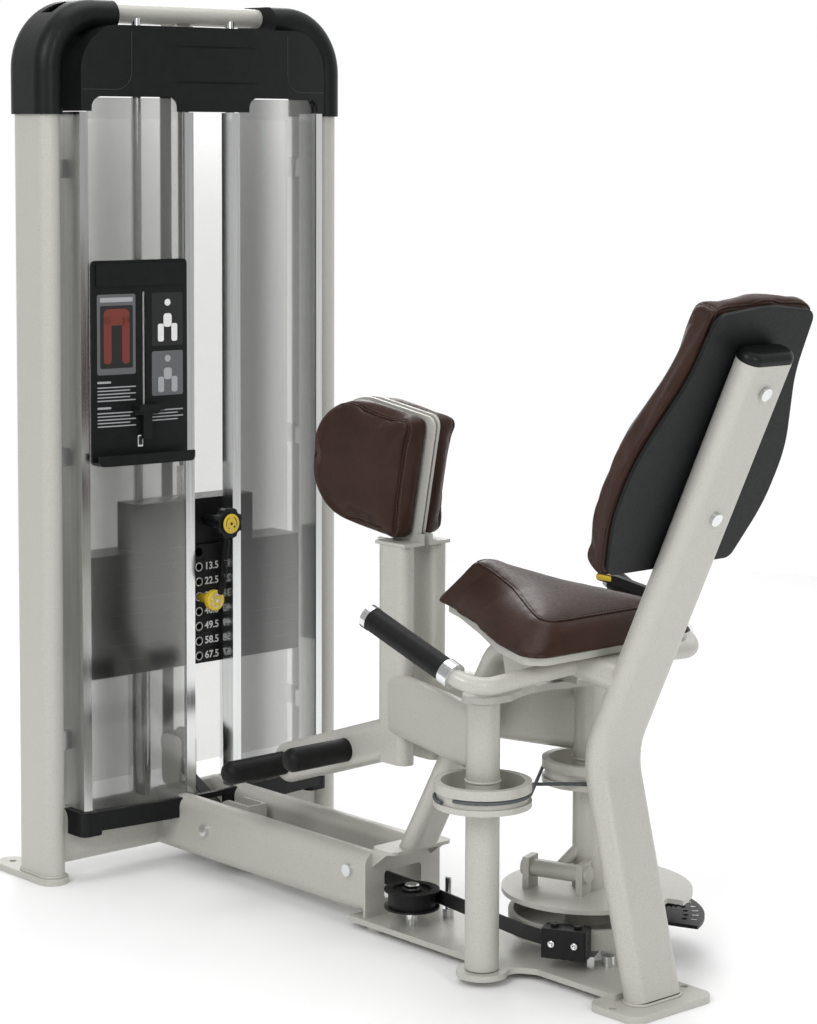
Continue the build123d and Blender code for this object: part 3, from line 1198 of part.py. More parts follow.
# ---------------------------------------------------------------- arms
ARM_FROM = (-PIVOT_X, PIVOT_Y)
ARM_WAY = Vector(PIVOT_X - POST_X, POST_Y - PIVOT_Y, 0).normalized()
ARM_REACH = 305.0 / ARM_WAY.Y
POST_BOTTOM = 300.0
BAR_HALF = ARM_OVAL[1] / 2


def foot_bar(thin, half):
    """Flat-oval foot bar with a rounded front end, in the left post's plane."""
    start = (POST_Y + 10, FOOT_BAR_END_Z + (FOOT_BAR_END_Y - POST_Y - 10) * tan(FOOT_BAR_SLOPE))
    mid = ((start[0] + FOOT_BAR_END_Y) / 2, (start[1] + FOOT_BAR_END_Z) / 2)
    length = hypot(start[0] - FOOT_BAR_END_Y, start[1] - FOOT_BAR_END_Z)
    with BuildPart(mode=Mode.PRIVATE) as bar:
        with BuildSketch(Plane.YZ.offset(-POST_X - thin / 2)):
            with Locations(mid):
                SlotCenterToCenter(length, 2 * half, rotation=-degrees(FOOT_BAR_SLOPE))
        extrude(amount=thin)
        fillet(bar.edges().filter_by(lambda e: abs(abs(e.center().X + POST_X) - thin / 2) < 0.1), thin / 2 - 0.3)
    return bar.part


with BuildPart() as left_arm_beam:
    arm_start = Plane(
        origin=(ARM_FROM[0], ARM_FROM[1], ARM_Z), x_dir=(ARM_WAY.Y, -ARM_WAY.X, 0), z_dir=ARM_WAY
    )
    with BuildSketch(arm_start):
        oval(*FRAME_OVAL, WALL, 90)
    extrude(amount=ARM_REACH)
    with BuildSketch(arm_start.offset(ARM_REACH - 4)):
        oval(*FRAME_OVAL, 0, 90)
    extrude(amount=4)
    with BuildSketch(Plane.XY.offset(POST_BOTTOM)):
        with Locations((-POST_X, POST_Y)):
            oval(*ARM_OVAL, 0, 90)
    extrude(amount=POST_TOP - 0.2 - POST_BOTTOM)
    add(foot_bar(ARM_OVAL[0], BAR_HALF))
    with BuildSketch(Plane.XY.offset(POST_BOTTOM + 4)):
        with Locations((-POST_X, POST_Y)):
            oval(ARM_OVAL[0] - 2 * WALL, ARM_OVAL[1] - 2 * WALL, 0, 90)
    extrude(amount=POST_TOP - POST_BOTTOM, mode=Mode.SUBTRACT)
    add(foot_bar(ARM_OVAL[0] - 2 * WALL, BAR_HALF - WALL), mode=Mode.SUBTRACT)
    with BuildSketch(Plane.XY.offset(ARM_Z - 80)):
        with Locations(ARM_FROM):
            Circle(PIVOT_R)
    extrude(amount=160, mode=Mode.SUBTRACT)
    with Locations((-PIVOT_X, PIVOT_Y - 150, ARM_Z)):
        Box(400, 300, 200, mode=Mode.SUBTRACT)
save(left_arm_beam.part, "left_arm_beam")
save(mirror(left_arm_beam.part, about=Plane.YZ), "right_arm_beam")

PEG_SPOTS = ((PIVOT_Y + 436.7, 303.6), (FOOT_BAR_END_Y + 0.6, 247.6))
with BuildPart() as left_foot_pegs:
    with BuildSketch(Plane.YZ.offset(-POST_X - ARM_OVAL[0] / 2)):
        with Locations(*PEG_SPOTS):
            Circle(PEG_R)
    extrude(amount=-PEG_REACH)
    tips = left_foot_pegs.faces().filter_by(Axis.X).group_by(Axis.X)[0]
    fillet(tips.edges(), 17)
save(left_foot_pegs.part, "left_foot_pegs")
save(mirror(left_foot_pegs.part, about=Plane.YZ), "right_foot_pegs")

PAD_REAR_TOP = (PIVOT_Y + 256.0, 916.0)
PAD_REAR_BOTTOM = (PIVOT_Y + 300.0, 694.5)
PAD_NOSE = (PIVOT_Y + 421.0, 826.0)
PAD_R = 113.0
PLATE_PROUD = 10.0
PLATE_X = (6.5, 12.5)


def pad_outline(proud):
    """Leg pad outline in the open sketch; proud pushes the straight rear edge back."""
    tilt = radians(PAD_TILT)
    back = (-proud * cos(tilt), -proud * sin(tilt))
    top = (PAD_NOSE[0] - PAD_R * sin(tilt), PAD_NOSE[1] + PAD_R * cos(tilt))
    low = (PAD_NOSE[0] + PAD_R * sin(tilt), PAD_NOSE[1] - PAD_R * cos(tilt))
    with BuildLine() as edge_line:
        Polyline(
            top, (PAD_REAR_TOP[0] + back[0], PAD_REAR_TOP[1] + back[1]),
            (PAD_REAR_BOTTOM[0] + back[0], PAD_REAR_BOTTOM[1] + back[1]), low,
        )
        ThreePointArc(low, (PAD_NOSE[0] + PAD_R * cos(tilt), PAD_NOSE[1] + PAD_R * sin(tilt)), top)
    make_face(edge_line.edges())
    fillet(vertices().sort_by(Axis.X)[:1] + vertices().sort_by(Axis.Y)[:1], 20)


def pad_plate(side, proud):
    """Steel plate behind one leg pad with its foot flange and gusset."""
    with BuildPart() as plate:
        with BuildSketch(Plane.YZ.offset(side * PLATE_X[0])):
            pad_outline(proud)
        extrude(amount=side * (PLATE_X[1] - PLATE_X[0]))
        with Locations((side * (PLATE_X[1] + 54) / 2, POST_Y, POST_TOP + 3)):
            Box(54 - PLATE_X[1], 78, 6)
        with Locations((side * (PLATE_X[0] + 3), POST_Y, POST_TOP + 10)):
            Box(6, 78, 20)
        with BuildSketch(Plane.YZ.offset(side * (PLATE_X[1] + 8))):
            with BuildLine():
                Polyline(
                    (POST_Y + 38.3, POST_TOP), (POST_Y + 38.3, POST_TOP - 34), (POST_Y + 62, POST_TOP + 6),
                    (POST_Y + 38.3, POST_TOP + 6), close=True,
                )
            make_face()
        extrude(amount=side * 8)
    return plate.part


save(pad_plate(-1, PLATE_PROUD), "left_pad_plate")
save(pad_plate(1, 0), "right_pad_plate")

with BuildPart() as left_leg_pad:
    with BuildSketch(Plane.YZ.offset(-PLATE_X[1])):
        pad_outline(0)
    extrude(amount=-PAD_T)
    outside = left_leg_pad.faces().sort_by(Axis.X)[0]
    fillet(outside.edges(), 14)
save(left_leg_pad.part, "left_leg_pad")
save(mirror(left_leg_pad.part, about=Plane.YZ), "right_leg_pad")

LUGS = ((49.0, PIVOT_Y + 65.0), (82.0, PIVOT_Y - 31.0))
LUG_WAY = Vector(LUGS[1][0] - LUGS[0][0], LUGS[1][1] - LUGS[0][1], 0)
LUG_TOP = 170.0
PLUNGER_ANGLE = radians(-50)
PLUNGER_Z = 96.2
PLUNGER_WAY = Vector(cos(PLUNGER_ANGLE), sin(PLUNGER_ANGLE), 0)
PLUNGER_START = Vector(PIVOT_X, PIVOT_Y, PLUNGER_Z)
PLUNGER_ROD_R = 6.0
SLEEVE_Z = 150.0
with BuildPart() as range_sector:
    with BuildSketch(Plane.XY.offset(SECTOR_Z[0])):
        with Locations((PIVOT_X, PIVOT_Y)):
            Circle(150)
        ring_sector(60, 179, -72, 4)
        with Locations((PIVOT_X, PIVOT_Y)):
            Circle(PIVOT_R, mode=Mode.SUBTRACT)
    extrude(amount=SECTOR_Z[1] - SECTOR_Z[0])
    with BuildSketch(Plane(origin=PLUNGER_START + PLUNGER_WAY * 94, x_dir=(0, 0, 1), z_dir=PLUNGER_WAY)):
        with Locations(((SECTOR_Z[0] - PLUNGER_Z - 11) / 2, 0)):
            Rectangle(SECTOR_Z[0] - PLUNGER_Z + 11, 26)
        Circle(PLUNGER_ROD_R + RUN_GAP, mode=Mode.SUBTRACT)
    extrude(amount=16)
    lug_angle = degrees(atan2(LUG_WAY.Y, LUG_WAY.X))
    for spot in LUGS:
        with BuildSketch(Plane.XY.offset(SECTOR_Z[1])):
            with Locations(Location((*spot, 0), (0, 0, lug_angle))):
                Rectangle(12, 36)
        extrude(amount=LUG_TOP - SECTOR_Z[1])
    way = LUG_WAY.normalized()
    sleeve_start = Vector(*LUGS[0], SLEEVE_Z) - way * 12
    with BuildSketch(Plane(origin=sleeve_start, z_dir=way)):
        Circle(15)
    extrude(amount=LUG_WAY.length + 24)
    mid = Vector((LUGS[0][0] + LUGS[1][0]) / 2, (LUGS[0][1] + LUGS[1][1]) / 2, SLEEVE_Z)
    to_tube = Vector(PIVOT_X, PIVOT_Y, 202) - mid
    with BuildSketch(Plane(origin=mid, z_dir=to_tube.normalized())):
        Circle(10)
    extrude(amount=to_tube.length)
    with BuildSketch(Plane.XY.offset(SECTOR_Z[1])):
        with Locations((PIVOT_X, PIVOT_Y)):
            Circle(PIVOT_R)
    extrude(amount=140, mode=Mode.SUBTRACT)
save(range_sector.part, "range_sector")

with BuildPart() as range_plunger:
    with BuildSketch(Plane(origin=PLUNGER_START + PLUNGER_WAY * 82, z_dir=PLUNGER_WAY)):
        Circle(PLUNGER_ROD_R)
    extrude(amount=40)
    with BuildSketch(Plane(origin=PLUNGER_START + PLUNGER_WAY * 111, z_dir=PLUNGER_WAY)):
        Circle(9.5)
    extrude(amount=49)
    for step in range(5):
        with BuildSketch(Plane(origin=PLUNGER_START + PLUNGER_WAY * (117 + 8 * step), z_dir=PLUNGER_WAY)):
            Circle(11.2)
        extrude(amount=4)
save(range_plunger.part, "range_plunger")

# ---------------------------------------------------------------- release lever
LEVER_X = 254.0
LEVER_PIVOT = (PIVOT_Y - 30.0, 612.0)
with BuildPart() as release_lever:
    with BuildSketch(Plane.YZ.offset(LEVER_X - 6)):
        with BuildLine():
            Polyline(
                (PIVOT_Y - 24, 602), (PIVOT_Y - 24, 622), (PIVOT_Y + 60, 634), (PIVOT_Y + 106, 634),
                (PIVOT_Y + 106, 622), (PIVOT_Y + 60, 618), close=True,
            )
        make_face()
        fillet(vertices(), 5)
    extrude(amount=12)
save(release_lever.part, "release_lever")
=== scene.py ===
"""Visual model of a seated inner-thigh (hip adduction) weight-stack machine.

Everything is in metres, in the CAD frame: +Z up, +Y from the seat to the weight tower, +X the user's right.
"""
import json
from math import cos, exp, pi, radians, sin

import bmesh
import bpy
from mathutils import Matrix, Vector
from mathutils.bvhtree import BVHTree
from mathutils.kdtree import KDTree


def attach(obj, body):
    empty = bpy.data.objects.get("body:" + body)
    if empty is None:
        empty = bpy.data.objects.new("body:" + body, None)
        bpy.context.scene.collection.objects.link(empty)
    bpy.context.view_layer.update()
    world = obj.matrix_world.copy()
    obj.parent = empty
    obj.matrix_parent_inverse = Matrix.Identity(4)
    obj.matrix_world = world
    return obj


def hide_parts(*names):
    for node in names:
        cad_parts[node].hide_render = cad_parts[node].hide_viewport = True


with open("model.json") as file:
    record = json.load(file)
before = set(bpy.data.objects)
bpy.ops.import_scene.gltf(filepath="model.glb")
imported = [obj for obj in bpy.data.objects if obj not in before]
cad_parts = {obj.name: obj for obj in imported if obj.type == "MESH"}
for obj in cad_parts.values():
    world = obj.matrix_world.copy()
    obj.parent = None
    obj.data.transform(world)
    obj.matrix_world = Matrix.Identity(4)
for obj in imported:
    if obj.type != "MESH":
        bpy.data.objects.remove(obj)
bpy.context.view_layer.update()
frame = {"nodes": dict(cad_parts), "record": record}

PIVOT_Y = -0.3082                 # line through both arm pivots
PIVOT_X = 0.126                   # each arm pivot, left and right of the middle
TOWER_Y = PIVOT_Y + 0.993         # middle of the two uprights
UPRIGHT_X = 0.331
FRONT_Y = PIVOT_Y + 0.893         # tower front at the slot
FRONT_BOW_R = 1.75                # plan radius of the bowed tower front
PLATE_FRONT_Y = PIVOT_Y + 0.940   # number faces of the weight plates
PLATE_PITCH = 0.0292
LOWEST_PLATE_Z = 0.3915           # middle height of the lowest plate
LEAN = radians(25.5)              # back rest, from vertical
BACK_ORIGIN = Vector((0, PIVOT_Y - 0.240, 0.550))

CAMERA_PLACE = (-3.0796, -3.4331, 1.4050)
CAMERA_YAW, CAMERA_PITCH, CAMERA_ROLL = radians(41.70), radians(4.86), radians(0.2)
CAMERA_SHIFT = (0.00065, -0.1488)
LENS_MM, SENSOR_MM = 92.8877, 36.0

WALL_WAY = (0.665, 0.747, 0.0)    # towards the white wall
ROOM_DIM, WALL_BRIGHT = 0.42, 1.0
FLOOR_R = 4.0                     # lit part of the floor; the white wall starts past it
FLOOR_DROP = 0.0005               # floor surface below the feet
LIGHTS = (                        # name, place, target, size, watts
    ("key", (-4.2, -1.6, 3.6), (0, 0, 0.8), (2.4, 2.4), 120),
    ("front", (-0.8, -4.6, 2.6), (0, 0, 0.8), (1.2, 2.6), 55),
    ("top", (0.5, 0.2, 4.6), (0, 0, 0.6), (3.0, 3.0), 60),
    ("rear", (2.4, 3.6, 2.8), (0, 0.3, 0.9), (1.6, 2.4), 50),
)


def around(count):
    """Angles of count even steps round a circle."""
    return [2 * pi * k / count for k in range(count)]


# ---------------------------------------------------------------- camera, light and floor
def add_camera():
    """Perspective camera beside the seat, looking at the tower front."""
    level = cos(CAMERA_PITCH)
    look = Vector((sin(CAMERA_YAW) * level, cos(CAMERA_YAW) * level, -sin(CAMERA_PITCH)))
    right = look.cross(Vector((0, 0, 1))).normalized()
    up = right.cross(look)
    data = bpy.data.cameras.new("photo_camera")
    data.sensor_width = SENSOR_MM
    data.lens = LENS_MM
    data.shift_x, data.shift_y = CAMERA_SHIFT
    data.clip_end = 60.0
    camera = bpy.data.objects.new("photo_camera", data)
    turn = Matrix((right, up, -look)).transposed() @ Matrix.Rotation(CAMERA_ROLL, 3, "Z")
    camera.matrix_world = Matrix.Translation(CAMERA_PLACE) @ turn.to_4x4()
    bpy.context.collection.objects.link(camera)
    bpy.context.scene.camera = camera


def area_light(name, place, target, size, watts):
    """Soft rectangular light aimed at a point."""
    data = bpy.data.lights.new(name, "AREA")
    data.shape = "RECTANGLE"
    data.size, data.size_y = size
    data.energy = watts
    light = bpy.data.objects.new(name, data)
    way = Vector(target) - Vector(place)
    light.matrix_world = Matrix.Translation(place) @ way.to_track_quat("-Z", "Y").to_matrix().to_4x4()
    bpy.context.collection.objects.link(light)


def add_world():
    """White wall on one side of a dimmer room."""
    world = bpy.data.worlds.new("studio")
    world.use_nodes = True
    nodes, links = world.node_tree.nodes, world.node_tree.links
    along = nodes.new("ShaderNodeVectorMath")
    along.operation = "DOT_PRODUCT"
    along.inputs[1].default_value = WALL_WAY
    links.new(nodes.new("ShaderNodeTexCoord").outputs["Generated"], along.inputs[0])
    room = nodes.new("ShaderNodeMapRange")
    room.inputs["From Min"].default_value = -0.3
    room.inputs["From Max"].default_value = 0.6
    room.inputs["To Min"].default_value = ROOM_DIM
    room.inputs["To Max"].default_value = WALL_BRIGHT
    links.new(along.outputs["Value"], room.inputs["Value"])
    links.new(room.outputs["Result"], nodes["Background"].inputs["Strength"])
    nodes["Background"].inputs["Color"].default_value = (1.0, 1.0, 1.0, 1.0)
    bpy.context.scene.world = world


def add_studio():
    """The world, the soft lights and a plain pale floor."""
    add_world()
    for light in LIGHTS:
        area_light(*light)
    settings = bpy.context.scene.view_settings
    settings.view_transform = "Standard"
    settings.look = "None"
    mesh = bpy.data.meshes.new("studio_floor")
    rim = [(FLOOR_R * cos(t), FLOOR_R * sin(t), -FLOOR_DROP) for t in around(64)]
    mesh.from_pydata(rim, [], [list(range(64))])
    floor = bpy.data.objects.new("studio_floor", mesh)
    bpy.context.collection.objects.link(floor)
    floor.data.materials.append(floor_paint())


# ---------------------------------------------------------------- materials
def linear(*srgb):
    """Linear colour with alpha from 0-255 display values."""
    return tuple(((c / 255 + 0.055) / 1.055) ** 2.4 if c > 10 else c / 255 / 12.92 for c in srgb) + (1.0,)


class Shader:
    """A node material being built: its tree, its principled shader and object coordinates."""

    def __init__(self, name):
        self.material = bpy.data.materials.new(name)
        self.material.use_nodes = True
        self.nodes = self.material.node_tree.nodes
        self.links = self.material.node_tree.links
        self.surface = self.nodes["Principled BSDF"]
        self.place = self.nodes.new("ShaderNodeTexCoord").outputs["Object"]
        self.height = None

    def stretched(self, x, y, z):
        """Object coordinates scaled on each axis."""
        mapping = self.nodes.new("ShaderNodeMapping")
        mapping.inputs["Scale"].default_value = (x, y, z)
        self.links.new(self.place, mapping.inputs["Vector"])
        return mapping.outputs["Vector"]

    def noise(self, scale, detail=2.0, rough=0.5, place=None):
        """Noise value at the object's own coordinates, or at place."""
        node = self.nodes.new("ShaderNodeTexNoise")
        node.inputs["Scale"].default_value = scale
        node.inputs["Detail"].default_value = detail
        node.inputs["Roughness"].default_value = rough
        self.links.new(place or self.place, node.inputs["Vector"])
        return node.outputs["Fac"]

    def cells(self, scale, feature="F1"):
        """Distance to the nearest cell point."""
        node = self.nodes.new("ShaderNodeTexVoronoi")
        node.feature = feature
        node.inputs["Scale"].default_value = scale
        self.links.new(self.place, node.inputs["Vector"])
        return node.outputs["Distance"]

    def ramp(self, value, stops):
        """Colour ramp of (position, colour) stops."""
        node = self.nodes.new("ShaderNodeValToRGB")
        elements = node.color_ramp.elements
        while len(elements) < len(stops):
            elements.new(0.5)
        for element, (position, colour) in zip(elements, stops):
            element.position = position
            element.color = colour
        self.links.new(value, node.inputs["Fac"])
        return node.outputs["Color"]

    def span(self, value, low, high, start=0.3, end=0.7):
        """Value mapped from start..end to low..high."""
        node = self.nodes.new("ShaderNodeMapRange")
        node.inputs["From Min"].default_value = start
        node.inputs["From Max"].default_value = end
        node.inputs["To Min"].default_value = low
        node.inputs["To Max"].default_value = high
        self.links.new(value, node.inputs["Value"])
        return node.outputs["Result"]

    def colour(self, value):
        """Drive the base colour."""
        self.links.new(value, self.surface.inputs["Base Color"])

    def rough(self, value):
        """Drive the roughness."""
        self.links.new(value, self.surface.inputs["Roughness"])

    def bump(self, value, strength, distance):
        """Add one bump layer on top of the earlier ones."""
        node = self.nodes.new("ShaderNodeBump")
        node.inputs["Strength"].default_value = strength
        node.inputs["Distance"].default_value = distance
        self.links.new(value, node.inputs["Height"])
        if self.height:
            self.links.new(self.height, node.inputs["Normal"])
        self.height = node.outputs["Normal"]
        self.links.new(self.height, self.surface.inputs["Normal"])

    def set(self, **values):
        """Constant values on the shader's own sockets."""
        for name, value in values.items():
            self.surface.inputs[name.replace("_", " ")].default_value = value


def floor_paint():
    """Nearly white matt floor."""
    s = Shader("floor_paint")
    s.colour(s.ramp(s.noise(3.0, 4.0), [(0.3, (0.93, 0.93, 0.93, 1)), (0.7, (0.95, 0.95, 0.95, 1))]))
    s.set(Roughness=0.9)
    return s.material


def powder_coat():
    """Warm light grey powder coat with a fine texture and pale sparkle."""
    s = Shader("powder_coat")
    fleck = s.ramp(s.cells(620.0), [(0.0, linear(218, 217, 211)), (0.22, linear(188, 187, 180)),
                                    (0.75, linear(181, 180, 173)), (1.0, linear(164, 163, 156))])
    s.colour(fleck)
    s.rough(s.span(s.noise(340.0, 3.0), 0.30, 0.50))
    s.bump(s.noise(420.0, 4.0, 0.6), 0.22, 0.0006)
    s.bump(s.cells(900.0), 0.10, 0.0003)
    s.set(Metallic=0.12, Specular_IOR_Level=0.55)
    return s.material


def vinyl():
    """Dark brown upholstery vinyl with a pebbled leather grain."""
    s = Shader("vinyl")
    shade = s.ramp(s.noise(14.0, 5.0, 0.6), [(0.3, linear(43, 25, 17)), (0.55, linear(50, 29, 20)),
                                             (0.8, linear(58, 34, 24))])
    s.colour(shade)
    s.rough(s.span(s.noise(180.0, 3.0), 0.36, 0.50))
    s.bump(s.cells(430.0, "SMOOTH_F1"), 0.35, 0.0006)
    s.bump(s.noise(900.0, 3.0), 0.15, 0.0003)
    s.bump(s.noise(22.0, 3.0), 0.06, 0.004)
    s.set(Specular_IOR_Level=0.22, Coat_Weight=0.02, Coat_Roughness=0.35)
    return s.material


def thread():
    """Brown sewing thread."""
    s = Shader("thread")
    s.colour(s.ramp(s.noise(2500.0), [(0.3, linear(46, 30, 24)), (0.7, linear(84, 60, 48))]))
    s.bump(s.noise(3000.0), 0.4, 0.0003)
    s.set(Roughness=0.7, Sheen_Weight=0.3)
    return s.material


def moulded(name, dark, light, grain, low, high):
    """Black moulded plastic or rubber with a fine cast grain."""
    s = Shader(name)
    s.colour(s.ramp(s.noise(60.0, 4.0), [(0.3, dark), (0.7, light)]))
    s.rough(s.span(s.noise(260.0, 3.0), low, high))
    s.bump(s.noise(grain, 3.0, 0.6), 0.25, 0.0004)
    s.set(Specular_IOR_Level=0.22)
    return s.material


def bright_metal(name, colour, low, high, streak, strength):
    """Plated or ground metal, with streaks along Z when streak is over 1."""
    s = Shader(name)
    lines = s.noise(260.0, 4.0, 0.6, s.stretched(1.0, 1.0, 1.0 / streak))
    s.colour(s.ramp(lines, [(0.3, tuple(c * 0.86 for c in colour[:3]) + (1,)), (0.7, colour)]))
    s.rough(s.span(lines, low, high))
    s.bump(lines, strength, 0.0002)
    s.set(Metallic=1.0)
    return s.material


def frosted_shield():
    """Silver frosted sheet that shows the stack behind it as a blur, its colour painted with light and dark
    reflection streaks.
    """
    s = Shader("frosted_shield")
    # painted reflection: light and dark vertical streaks in the base colour stand in for the lights
    # mirrored in the sheet
    painted_light_bands = s.noise(5.0, 1.0, 0.3, s.stretched(1.0, 0.05, 0.02))
    s.colour(s.ramp(painted_light_bands, [(0.30, linear(128, 129, 129)), (0.46, linear(222, 222, 220)),
                            (0.60, linear(158, 159, 158)), (0.74, linear(236, 236, 234))]))
    fine = s.noise(700.0, 2.0)
    s.rough(s.span(fine, 0.10, 0.14))
    s.bump(fine, 0.02, 0.0001)
    s.set(Metallic=0.18, Transmission_Weight=0.97, IOR=1.15)
    return s.material


def frosted_back():
    """Clear white frosted sheet behind the stack."""
    s = Shader("frosted_back")
    fine = s.noise(500.0, 3.0)
    s.colour(s.ramp(fine, [(0.3, linear(240, 240, 238)), (0.7, linear(250, 250, 249))]))
    s.rough(s.span(fine, 0.38, 0.5))
    s.bump(fine, 0.05, 0.0002)
    s.set(Transmission_Weight=0.85, IOR=1.2)
    return s.material


def cast_iron():
    """Black painted weight plates with a slightly pitted skin."""
    s = Shader("cast_iron")
    s.colour(s.ramp(s.noise(90.0, 5.0), [(0.3, linear(11, 11, 12)), (0.7, linear(19, 19, 20))]))
    s.set(Specular_IOR_Level=0.25)
    s.rough(s.span(s.noise(120.0, 3.0), 0.35, 0.55))
    s.bump(s.noise(260.0, 5.0, 0.7), 0.3, 0.0006)
    return s.material


def woven(name, dark, light, pitch):
    """Woven or laid strands: a fine crosswise pattern for belts and cable."""
    s = Shader(name)
    wave = s.nodes.new("ShaderNodeTexWave")
    wave.bands_direction = "DIAGONAL"
    wave.inputs["Scale"].default_value = pitch
    wave.inputs["Distortion"].default_value = 0.6
    s.links.new(s.place, wave.inputs["Vector"])
    s.colour(s.ramp(wave.outputs["Fac"], [(0.2, dark), (0.8, light)]))
    s.rough(s.span(s.noise(400.0), 0.4, 0.6))
    s.bump(wave.outputs["Fac"], 0.35, 0.0004)
    return s.material


def print_ink(name, srgb, rough=0.45):
    """Printed or painted marking with a faint mottled film."""
    s = Shader(name)
    full = linear(*srgb)
    s.colour(s.ramp(s.noise(500.0, 3.0), [(0.3, tuple(c * 0.9 for c in full[:3]) + (1,)), (0.7, full)]))
    s.bump(s.noise(1200.0), 0.08, 0.0002)
    s.set(Roughness=rough)
    return s.material


FINISH = {
    "frame_paint": powder_coat(),
    "dark_steel": cast_iron(),
    "chrome": bright_metal("chrome_plate", (0.82, 0.83, 0.84, 1), 0.06, 0.14, 1.0, 0.03),
    "steel": bright_metal("ground_steel", (0.62, 0.62, 0.61, 1), 0.22, 0.36, 12.0, 0.12),
    "trim": bright_metal("polished_trim", (0.80, 0.81, 0.81, 1), 0.12, 0.20, 60.0, 0.05),
    "shield": frosted_shield(),
    "black_plastic": moulded("black_plastic", linear(14, 16, 16), linear(20, 22, 22), 700.0, 0.34, 0.48),
    "rubber": moulded("black_rubber", linear(12, 12, 12), linear(17, 18, 18), 480.0, 0.40, 0.55),
    "vinyl": vinyl(),
    "yellow": print_ink("yellow_plastic", (214, 184, 48), 0.35),
}
EXTRA = {
    "rear_shield": frosted_back(),
    "drive_belt": woven("belt_weave", linear(14, 14, 15), linear(30, 30, 31), 260.0),
    "sync_cable": woven("cable_lay", linear(46, 50, 52), linear(96, 102, 104), 330.0),
    "back_board": moulded("board_plastic", linear(18, 20, 20), linear(23, 25, 25), 900.0, 0.42, 0.56),
}
EXTRA["lift_belt"] = EXTRA["drive_belt"]
THREAD = thread()
WHITE = print_ink("white_print", (226, 227, 225))
GREY = print_ink("grey_print", (92, 94, 96))
PALE = print_ink("pale_print", (160, 163, 165))
DARK = print_ink("dark_print", (22, 23, 24))
RUST = print_ink("rust_print", (112, 46, 36))


def paint_nodes():
    """Give every CAD node its finish."""
    for part in frame["record"]["subparts"]:
        node = frame["nodes"][part["node"]]
        material = EXTRA.get(part["node"], FINISH[part["material_slot"]])
        if not node.material_slots:
            node.data.materials.append(material)
        for slot in node.material_slots:
            slot.material = material


# ---------------------------------------------------------------- mesh helpers
def piece(name, mesh, material, body):
    """Link a finished mesh as one piece riding on a body."""
    obj = bpy.data.objects.new(name, mesh)
    bpy.context.collection.objects.link(obj)
    mesh.materials.clear()
    mesh.materials.append(material)
    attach(obj, body)
    return obj


def mesh_of(name, bm, smooth=True):
    """Mesh made from a bmesh, shaded smooth or flat."""
    bmesh.ops.recalc_face_normals(bm, faces=bm.faces)
    mesh = bpy.data.meshes.new(name)
    bm.to_mesh(mesh)
    bm.free()
    for polygon in mesh.polygons:
        polygon.use_smooth = smooth
    return mesh


def bridge(bm, a, b):
    """Quads between two equal rings of vertices."""
    count = len(a)
    for k in range(count):
        bm.faces.new((a[k], a[(k + 1) % count], b[(k + 1) % count], b[k]))


def cap_ends(bm, rings):
    """Flat faces on the first and last ring."""
    bm.faces.new(rings[0][::-1])
    bm.faces.new(rings[-1])


def add_tube(bm, points, radius, closed=False, sides=10, swell=None):
    """Sweep a round section along points with an even twist; swell(i) scales the radius at point i."""
    count = len(points)
    ways = []
    for i in range(count):
        before = points[i - 1] if i or closed else points[0]
        after = points[(i + 1) % count] if i < count - 1 or closed else points[-1]
        ways.append((after - before).normalized())
    side = ways[0].orthogonal().normalized()
    rings = []
    for i, (point, way) in enumerate(zip(points, ways)):
        side = (side - way * side.dot(way)).normalized()
        other = way.cross(side)
        size = radius * (swell(i) if swell else 1.0)
        rings.append([bm.verts.new(point + (side * cos(t) + other * sin(t)) * size) for t in around(sides)])
    pairs = list(zip(rings, rings[1:]))
    if closed:
        start, end = rings[-1], rings[0]
        shift = min(range(sides), key=lambda k: (start[0].co - end[k].co).length)
        pairs.append((start, end[shift:] + end[:shift]))
    for a, b in pairs:
        bridge(bm, a, b)
    if not closed:
        cap_ends(bm, rings)


def even(points, step, closed):
    """Points an even step apart along a polyline."""
    line = list(points) + ([points[0]] if closed else [])
    lengths = [(b - a).length for a, b in zip(line, line[1:])]
    count = max(8, round(sum(lengths) / step))
    out, run, index = [], 0.0, 0
    for k in range(count if closed else count + 1):
        want = sum(lengths) * k / count
        while index < len(lengths) - 1 and run + lengths[index] < want:
            run += lengths[index]
            index += 1
        out.append(line[index].lerp(line[index + 1], min(1.0, (want - run) / max(lengths[index], 1e-9))))
    return out


def smoothed(points, rounds):
    """Closed path relaxed a few times."""
    count = len(points)
    for _ in range(rounds):
        points = [(points[i - 1] + points[i] * 2 + points[(i + 1) % count]) / 4 for i in range(count)]
    return points


def loops(edges):
    """Closed chains of vertex places from a set of bmesh edges, the longest first."""
    beside = {}
    for edge in edges:
        for vert in edge.verts:
            beside.setdefault(vert, []).append(edge)
    left, found = set(edges), []
    while left:
        edge = min(left, key=lambda e: e.index)
        left.discard(edge)
        chain = [edge.verts[0], edge.verts[1]]
        while True:
            onward = [e for e in beside[chain[-1]] if e in left]
            if not onward:
                break
            left.discard(onward[0])
            chain.append(onward[0].other_vert(chain[-1]))
        found.append([v.co.copy() for v in chain[:-1]])
    return sorted(found, key=lambda c: -sum((a - b).length for a, b in zip(c, c[1:])))


def cut_loop(mesh, point, normal):
    """Longest closed loop where a plane cuts a mesh."""
    bm = bmesh.new()
    bm.from_mesh(mesh)
    geometry = bm.verts[:] + bm.edges[:] + bm.faces[:]
    cut = bmesh.ops.bisect_plane(bm, geom=geometry, plane_co=point, plane_no=normal)["geom_cut"]
    bm.edges.index_update()
    chain = loops([e for e in cut if isinstance(e, bmesh.types.BMEdge)])[0]
    bm.free()
    return chain


# ---------------------------------------------------------------- cushions
def evaluated_mesh(obj):
    """Copy of an object's mesh with its modifiers applied."""
    return bpy.data.meshes.new_from_object(obj.evaluated_get(bpy.context.evaluated_depsgraph_get()))


def relax(bm, rounds):
    """Even out the vertices of a bmesh."""
    for _ in range(rounds):
        bmesh.ops.smooth_vert(bm, verts=bm.verts, factor=0.5, use_axis_x=True, use_axis_y=True,
                              use_axis_z=True)


